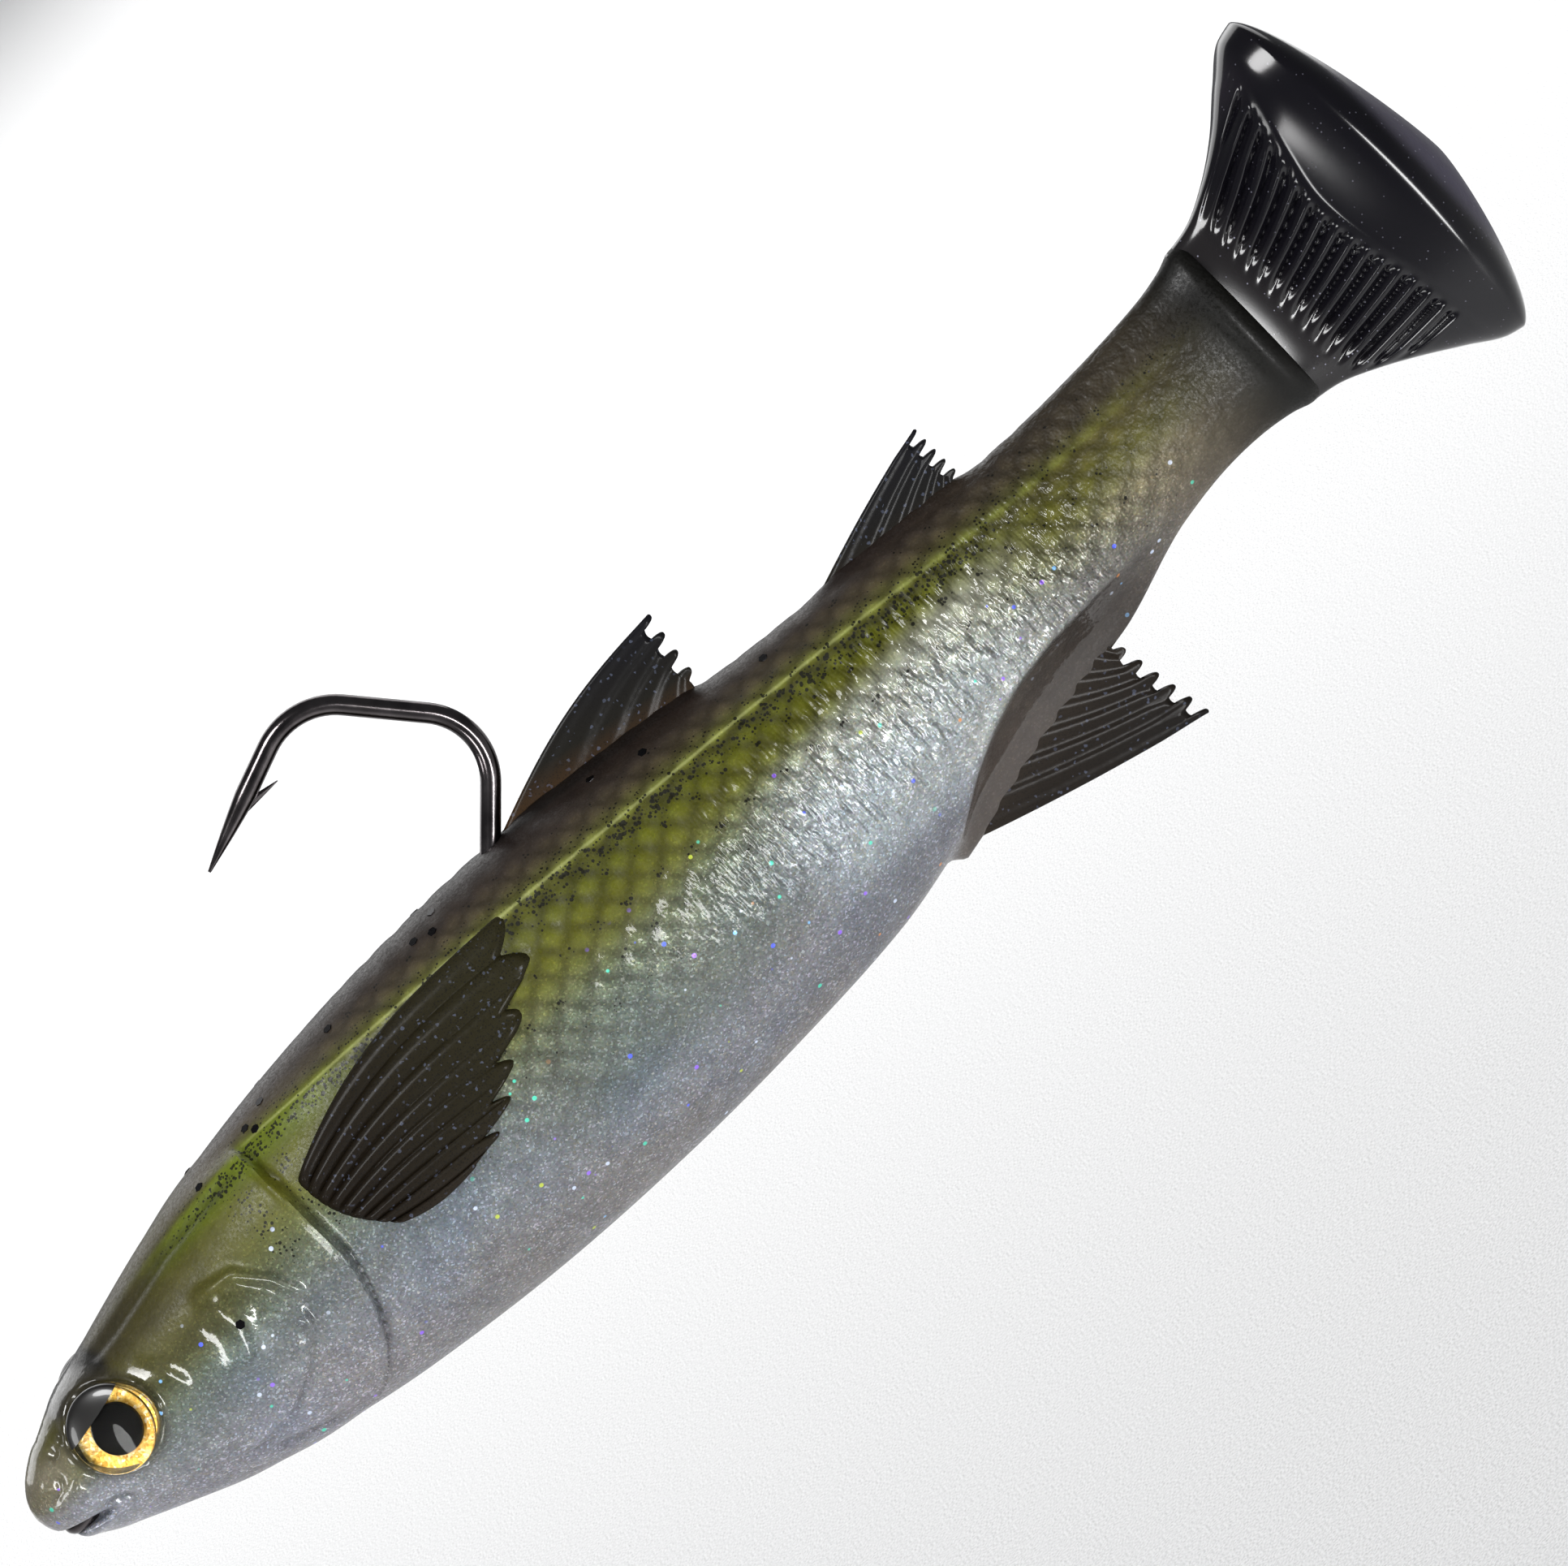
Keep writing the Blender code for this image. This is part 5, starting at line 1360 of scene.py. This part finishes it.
@dataclass
class Hook:
    """The jig hook, drawn out as one wire from its line-tie eye to its point, in mm."""

    wire: float = 1.65
    hole: float = 1.5
    shank: float = 44.06
    shank_bend: float = 8.0
    leg_angle: float = 45.0
    leg: float = 30.36
    lower_bend: float = 5.5
    throat_angle: float = 129.0
    throat: float = 15.6
    upper_bend: float = 5.7
    point_angle: float = 200.0
    point_leg: float = 14.7
    taper: float = 6.5
    taper_step: float = 0.142
    eye_gap: float = 45.0
    eye_exit: float = 30.0
    barb_back: float = 5.0
    barb_length: float = 3.6
    barb_rise: float = 0.95
    barb_wide: float = 0.55
    barb_tip: float = 0.05
    sides: int = 28
    bm: bmesh.types.BMesh = field(default_factory=bmesh.new)

    def begin(self, place: Vector, heading: Vector) -> None:
        """Start the wire with a round end.

        Args:
            place: centre of the end, in mm.
            heading: the way the wire runs from it.
        """
        self.place = place
        self.heading = heading.normalized()
        turn = self.heading.to_track_quat("Z", "Y").to_matrix().to_4x4()
        made = bmesh.ops.create_circle(
            self.bm, cap_ends=True, segments=self.sides, radius=self.wire / 2,
            matrix=Matrix.Translation(place) @ turn,
        )
        self.ring = made["verts"]

    def end_edges(self) -> list[bmesh.types.BMEdge]:
        """Return the edges of the wire's open end."""
        ring = set(self.ring)
        return [edge for edge in self.bm.edges if edge.verts[0] in ring and edge.verts[1] in ring]

    def run(self, length: float, scale: float = 1.0) -> None:
        """Draw the wire out straight.

        Args:
            length: how far, in mm.
            scale: how much narrower its end is than its start.
        """
        grown = bmesh.ops.extrude_edge_only(self.bm, edges=self.end_edges())["geom"]
        self.ring = [part for part in grown if isinstance(part, bmesh.types.BMVert)]
        step = self.heading * length
        bmesh.ops.translate(self.bm, verts=self.ring, vec=step)
        self.place = self.place + step
        for vert in self.ring:
            vert.co = self.place + (vert.co - self.place) * scale

    def turn(self, radius: float, degrees: float, axis: Vector) -> None:
        """Bend the wire.

        Args:
            radius: of its centreline, in mm.
            degrees: how far it turns about the axis.
            axis: the way it turns by the right hand.
        """
        centre = self.place + axis.cross(self.heading) * radius
        steps = max(4, round(degrees / 5))
        spun = bmesh.ops.spin(
            self.bm, geom=self.end_edges(), cent=centre, axis=axis,
            angle=math.radians(degrees), steps=steps, use_merge=False, use_duplicate=False,
        )["geom_last"]
        self.ring = [part for part in spun if isinstance(part, bmesh.types.BMVert)]
        swing = Matrix.Rotation(math.radians(degrees), 3, axis)
        self.place = centre + swing @ (self.place - centre)
        self.heading = swing @ self.heading

    def barb(self) -> None:
        """Raise the barb: a thin spur cut back from the inside of the point leg."""
        inward = Vector((0.0, 1.0, 0.0)).cross(self.heading)
        inward *= -1.0 if inward.z > 0 else 1.0
        root = self.place - self.heading * self.barb_back
        along = inward * (self.wire / 2 + self.barb_rise) - self.heading * self.barb_length
        turn = along.to_track_quat("Z", "Y").to_matrix().to_4x4()
        flat = Matrix.Diagonal((self.barb_wide, 1.0, 1.0, 1.0))
        bmesh.ops.create_cone(
            self.bm, cap_ends=True, segments=12, radius1=self.barb_wide, radius2=self.barb_tip,
            depth=along.length, matrix=Matrix.Translation(root + along / 2) @ turn @ flat,
        )

    def build(self, finish: bpy.types.Material) -> bpy.types.Object:
        """Draw the wire and finish it."""
        ring = (self.hole + self.wire) / 2
        up, left = Vector((0.0, 0.0, 1.0)), Vector((0.0, -1.0, 0.0))
        start = math.radians(self.eye_gap)
        spoke = Vector((math.cos(start), math.sin(start), 0.0))
        self.begin(spoke * ring, up.cross(spoke))
        self.turn(ring, 300.0 - self.eye_gap, up)
        self.run(ring * math.sqrt(3.0) - ring * math.tan(math.radians(self.eye_exit / 2)))
        self.turn(ring, self.eye_exit, -up)
        bends = (
            (self.shank_bend, self.leg_angle),
            (self.lower_bend, self.throat_angle - self.leg_angle),
            (self.upper_bend, self.point_angle - self.throat_angle),
        )
        cuts = [radius * math.tan(math.radians(degrees / 2)) for radius, degrees in bends]
        runs = (
            self.shank - cuts[0] - self.place.x, self.leg - cuts[0] - cuts[1], self.throat - cuts[1] - cuts[2],
        )
        for length, (radius, degrees) in zip(runs, bends):
            self.run(length)
            self.turn(radius, degrees, left)
        self.run(self.point_leg - cuts[2] - self.taper)
        width = 1.0
        for share in (0.85, 0.7, 0.55, 0.4, 0.26, 0.14, 0.05):
            wanted = share ** 0.62
            self.run(self.taper * self.taper_step, wanted / width)
            width = wanted
        bmesh.ops.contextual_create(self.bm, geom=self.end_edges())
        self.barb()
        bmesh.ops.recalc_face_normals(self.bm, faces=self.bm.faces[:])
        bmesh.ops.scale(self.bm, vec=(MM, MM, MM), verts=self.bm.verts[:])
        piece = settle("jig_hook", self.bm, finish, 40.0)
        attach(piece, "front")
        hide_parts("hook")
        return piece


# ------------------------------------------------------------------ eyes


def disc_place(node: str, side: Side) -> Matrix:
    """Return a CAD disc's frame: its middle, with Z along its axis and outwards."""
    points = np.array([vert.co for vert in frame["nodes"][node].data.vertices], float)
    middle = points.mean(axis=0)
    axis = Vector(np.linalg.svd(points - middle)[2][2])
    if axis.y * side.value < 0:
        axis = -axis
    return Matrix.Translation(Vector(middle)) @ axis.to_track_quat("Z", "Y").to_matrix().to_4x4()


@dataclass
class Eye:
    """A foil eye: iris disc, domed pupil, a clear poured dome and a moulded lid, in mm."""

    side: Side
    radius: float = 3.5
    pupil: float = 2.0
    dome: float = 0.85
    dome_rim: float = 0.25
    dome_drop: float = 0.45
    lid_over: float = 0.22
    lid_fall: float = math.radians(14.0)
    lid_low: float = 1.75

    def name(self, part: str) -> str:
        """Return the name of a part of this eye."""
        return f"{self.side.name.lower()}_{part}"

    def disc(self, radius: float, thick: float, crown: float) -> bmesh.types.BMesh:
        """Return a round disc with a softened rim and a crowned face."""
        bm = bmesh.new()
        bmesh.ops.create_circle(bm, cap_ends=True, segments=72, radius=radius)
        grown = bmesh.ops.extrude_face_region(bm, geom=bm.faces[:])["geom"]
        top = [part for part in grown if isinstance(part, bmesh.types.BMFace)]
        bmesh.ops.translate(bm, vec=(0, 0, thick), verts=[v for face in top for v in face.verts])
        for share in (0.10, 0.25, 0.30, 0.35):
            bmesh.ops.inset_region(bm, faces=top, thickness=radius * share * 0.9, depth=0.0)
            for vert in top[0].verts:
                vert.co.z = thick + crown * (1 - (vert.co.xy.length / radius) ** 2)
        uv = bm.loops.layers.uv.new("wrap")
        for face in bm.faces:
            for loop in face.loops:
                loop[uv].uv = (0.5 + loop.vert.co.x / radius / 2, 0.5 + loop.vert.co.y / radius / 2)
        bmesh.ops.recalc_face_normals(bm, faces=bm.faces[:])
        return bm

    def lens(self) -> bmesh.types.BMesh:
        """Return the clear dome, spun from its half profile."""
        bm = bmesh.new()
        steps = 14
        profile = [(0.0, 0.0), (self.radius, 0.0), (self.radius, self.dome_rim)]
        for i in range(1, steps):
            turn = math.pi / 2 * i / steps
            profile.append((self.radius * math.cos(turn) ** 0.9, self.dome_rim + self.dome * math.sin(turn)))
        profile.append((0.0, self.dome_rim + self.dome))
        verts = [bm.verts.new((r, 0.0, z)) for r, z in profile]
        edges = [bm.edges.new(pair) for pair in zip(verts, verts[1:])]
        bmesh.ops.spin(
            bm, geom=verts + edges, cent=(0, 0, 0), axis=(0, 0, 1), angle=2 * math.pi, steps=64,
            use_merge=True,
        )
        bmesh.ops.remove_doubles(bm, verts=bm.verts[:], dist=1e-4)
        bmesh.ops.recalc_face_normals(bm, faces=bm.faces[:])
        return bm

    def seat(
        self, bm: bmesh.types.BMesh, name: str, node: str, finish: bpy.types.Material, drop: float,
    ) -> bpy.types.Object:
        """Put a part drop mm below its CAD node's middle, and let it ride there."""
        sunk = Matrix.Translation((0.0, 0.0, -drop * MM)) @ Matrix.Scale(MM, 4)
        bm.transform(disc_place(self.name(node), self.side) @ sunk)
        piece = settle(self.name(name), bm, finish, 40.0)
        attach(piece, "front")
        return piece

    def lid(self) -> bmesh.types.BMesh:
        """Return the lid: the top of a slightly larger dome, cut on a line that falls towards the nose."""
        bm = self.lens()
        grow = 1 + self.lid_over / self.radius
        bmesh.ops.scale(bm, vec=(grow, grow, grow * 1.06), verts=bm.verts[:])
        turned = disc_place(self.name("iris"), self.side).to_3x3().inverted()
        up = (turned @ Vector((-math.sin(self.lid_fall), 0.0, math.cos(self.lid_fall)))).normalized()
        geom = bm.verts[:] + bm.edges[:] + bm.faces[:]
        bmesh.ops.bisect_plane(bm, geom=geom, plane_co=up * self.lid_low, plane_no=up, clear_inner=True)
        bmesh.ops.holes_fill(bm, edges=[edge for edge in bm.edges if edge.is_boundary], sides=0)
        bmesh.ops.recalc_face_normals(bm, faces=bm.faces[:])
        return bm

    def build(
        self, iris: bpy.types.Material, pupil: bpy.types.Material, lens: bpy.types.Material,
        lid: bpy.types.Material,
    ) -> None:
        """Model the eye's parts and its lid. The dome casts no shadow, so the foil under it stays bright."""
        foil = self.seat(self.disc(self.radius, 0.45, 0.10), "foil_iris", "iris", iris, 0.22)
        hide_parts(self.name("iris"))
        dot = self.seat(self.disc(self.pupil, 0.30, 0.22), "round_pupil", "pupil", pupil, 0.15)
        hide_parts(self.name("pupil"))
        dome = self.seat(self.lens(), "poured_dome", "eye_lens", lens, self.dome_drop)
        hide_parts(self.name("eye_lens"))
        dome.visible_shadow = False
        self.seat(self.lid(), "eyelid", "eye_lens", lid, self.dome_drop)


@dataclass
class Flakes:
    """Black hexagonal flakes in the clear skin. Spots are mm behind the nose and degrees off the back."""

    skin: Skin
    radius: float = 0.42
    thick: float = 0.12
    spots: tuple[tuple[float, float], ...] = (
        (27.7, 24.0), (33.3, 21.0), (33.9, 27.0), (35.5, 16.0), (43.2, 19.0), (52.6, 20.0), (54.2, 24.0),
        (55.1, 12.0), (75.3, 23.0), (22.9, 86.0), (71.0, 14.0), (87.0, 20.0),
    )

    def build(self, finish: bpy.types.Material) -> bpy.types.Object:
        """Place each flake on the skin, on both sides, turned at random."""
        dice = random.Random(7)
        bm = bmesh.new()
        for side in Side:
            for station, degrees in self.spots:
                shift = 0.0 if side is Side.LEFT else dice.uniform(-3.0, 3.0)
                here = [np.array([station + shift]), np.array([math.radians(degrees)])]
                lift = self.skin.relief(here[0], self.skin.form.section(*here)[1])
                base = Vector(self.skin.form.on_skin(*here, side, lift)[0])
                over = Vector(self.skin.form.on_skin(*here, side, lift + 1.0)[0])
                normal = (over - base).normalized()
                turn = normal.to_track_quat("Z", "Y").to_matrix().to_4x4()
                spin = Matrix.Rotation(dice.uniform(0.0, math.pi), 4, "Z")
                place = Matrix.Translation(base) @ turn @ spin @ Matrix.Scale(MM, 4)
                bmesh.ops.create_cone(
                    bm, cap_ends=True, segments=6, radius1=self.radius, radius2=self.radius * 0.94,
                    depth=self.thick, matrix=place,
                )
        piece = settle("black_flakes", bm, finish, 30.0)
        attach(piece, "front")
        return piece


# ------------------------------------------------------------------ studio


@dataclass(frozen=True)
class Lamp:
    """A round or oval soft light. Place and target are metres from the fish's middle, power is in watts."""

    name: str
    place: tuple[float, float, float]
    size: tuple[float, float]
    power: float
    target: tuple[float, float, float] = (0.0, 0.0, 0.0)


LAMPS = (
    Lamp("ceiling", (0.6, 3.2, 1.0), (6.0, 4.8), 118.0, target=(0.6, 3.2, 0.0)),
    Lamp("key", (-0.16, -0.30, 0.42), (0.24, 0.18), 2.2),
    Lamp("side_fill", (0.11, -0.50, -0.12), (0.07, 0.32), 1.75),
    Lamp("cheek_fill", (-0.40, -0.42, 0.0), (0.09, 0.26), 1.0),
    Lamp("nose_fill", (-0.52, -0.08, 0.17), (0.14, 0.14), 0.4, target=(-0.08, 0.0, 0.0)),
)


@dataclass
class Studio:
    """The floor, the soft lights and the camera. Sizes are in metres and degrees, the camera's lens in mm."""

    aim: Vector
    distance: float = 0.608
    lens: float = 180.0
    elevation: float = 12.0
    roll: float = 45.0
    floor_size: float = 6.0
    floor_drop: float = 0.32
    air: tuple[float, float, float, float] = (0.94, 0.96, 1.0, 1.0)
    air_light: float = 0.14

    def camera(self) -> None:
        """Set the camera at the left side, a little above, turned so the fish climbs to the right."""
        data = bpy.data.cameras.new("camera")
        data.lens = self.lens
        data.sensor_width = 36.0
        data.clip_end = 50.0
        made = bpy.data.objects.new("camera", data)
        tilt = math.radians(self.elevation)
        toward = Vector((0.0, math.cos(tilt), -math.sin(tilt)))
        right = Vector((1.0, 0.0, 0.0))
        up = right.cross(toward)
        turn = math.radians(self.roll)
        rolled_right = right * math.cos(turn) - up * math.sin(turn)
        rolled_up = right * math.sin(turn) + up * math.cos(turn)
        axes = Matrix((rolled_right, rolled_up, -toward)).transposed().to_4x4()
        made.matrix_world = Matrix.Translation(self.aim - toward * self.distance) @ axes
        bpy.context.scene.collection.objects.link(made)
        bpy.context.scene.camera = made

    def light(self, lamp: Lamp) -> None:
        """Add a light that faces its target."""
        data = bpy.data.lights.new(lamp.name, "AREA")
        data.shape = "ELLIPSE"
        data.size, data.size_y = lamp.size
        data.energy = lamp.power
        made = bpy.data.objects.new(lamp.name, data)
        way = (Vector(lamp.target) - Vector(lamp.place)).to_track_quat("-Z", "Y").to_matrix().to_4x4()
        made.matrix_world = Matrix.Translation(self.aim + Vector(lamp.place)) @ way
        bpy.context.scene.collection.objects.link(made)

    def build(self) -> None:
        """Make the studio."""
        bm = bmesh.new()
        bmesh.ops.create_grid(bm, x_segments=8, y_segments=8, size=self.floor_size)
        bmesh.ops.translate(bm, vec=(0, 0, -self.floor_drop), verts=bm.verts[:])
        floor = settle("floor", bm, PlainFinish("pale_floor", "f4f4f4", 0.9).build())
        world = bpy.data.worlds.new("studio_air")
        bpy.context.scene.world = world
        world.use_nodes = True
        background = world.node_tree.nodes["Background"]
        background.inputs["Color"].default_value = self.air
        background.inputs["Strength"].default_value = self.air_light
        bpy.context.scene.view_settings.view_transform = "Standard"
        for lamp in LAMPS:
            self.light(lamp)
        self.camera()


def main() -> None:
    """Build the lure's pieces in order, then the studio."""
    logging.basicConfig(level=logging.INFO, format="%(name)s: %(message)s")
    form = BodyForm.from_frame()
    skin = Skin(form)
    skin.build(SkinFinish().build())
    WedgeTail(form).build(TailFinish().build())
    dark_fin = FinFinish("dark_fin_plastic").build()
    fins = (
        MedianFin(
            form, "first_dorsal_blade", "first_dorsal_fin", "first_dorsal",
            (63.1, 12.6), (81.6, 8.6), (82.6, 16.7), (81.8, 10.8),
            rays=5, tips=4, bow=0.6, codes=("38250f", "14120d", "08080f"),
        ),
        MedianFin(
            form, "second_dorsal_blade", "second_dorsal_fin", "second_dorsal",
            (93.0, 8.1), (107.2, 5.6), (107.2, 12.2), (107.2, 7.4),
            rays=5, tips=5, bow=-0.2, codes=("1d180f", "100f0e", "0a0a11"),
        ),
        MedianFin(
            form, "anal_blade", "anal_fin", "anal",
            (85.8, -13.2), (106.8, -9.2), (108.2, -20.3), (106.8, -11.4),
            rays=7, tips=6, bow=-0.4, codes=("2c251e", "1a140e", "0d0a08"),
        ),
    )
    for fin in fins:
        fin.build(dark_fin)
    fan = FinFinish("pectoral_plastic", coat=0.08, grain=0.12 * MM, pepper=0.75).build()
    for side in Side:
        PectoralFin(form, side).build(fan)
    Hook().build(NickelFinish().build())
    iris, lens = IrisFinish().build(), LensFinish().build()
    pupil = PlainFinish("pupil_black", "020202", 0.5, specular=0.05).build()
    lid = PlainFinish("eyelid_brown", "0b0907", 0.35, coat=0.5).build()
    for side in Side:
        Eye(side).build(iris, pupil, lens, lid)
    Flakes(skin).build(PlainFinish("black_flake", "08070a", 0.25, metallic=0.6).build())
    lead = frame["nodes"]["ballast_weight"]
    lead.data.materials.clear()
    lead.data.materials.append(LeadFinish().build())
    Studio(form.nose + Vector(AIM) * MM).build()


if __name__ == "__main__":
    main()
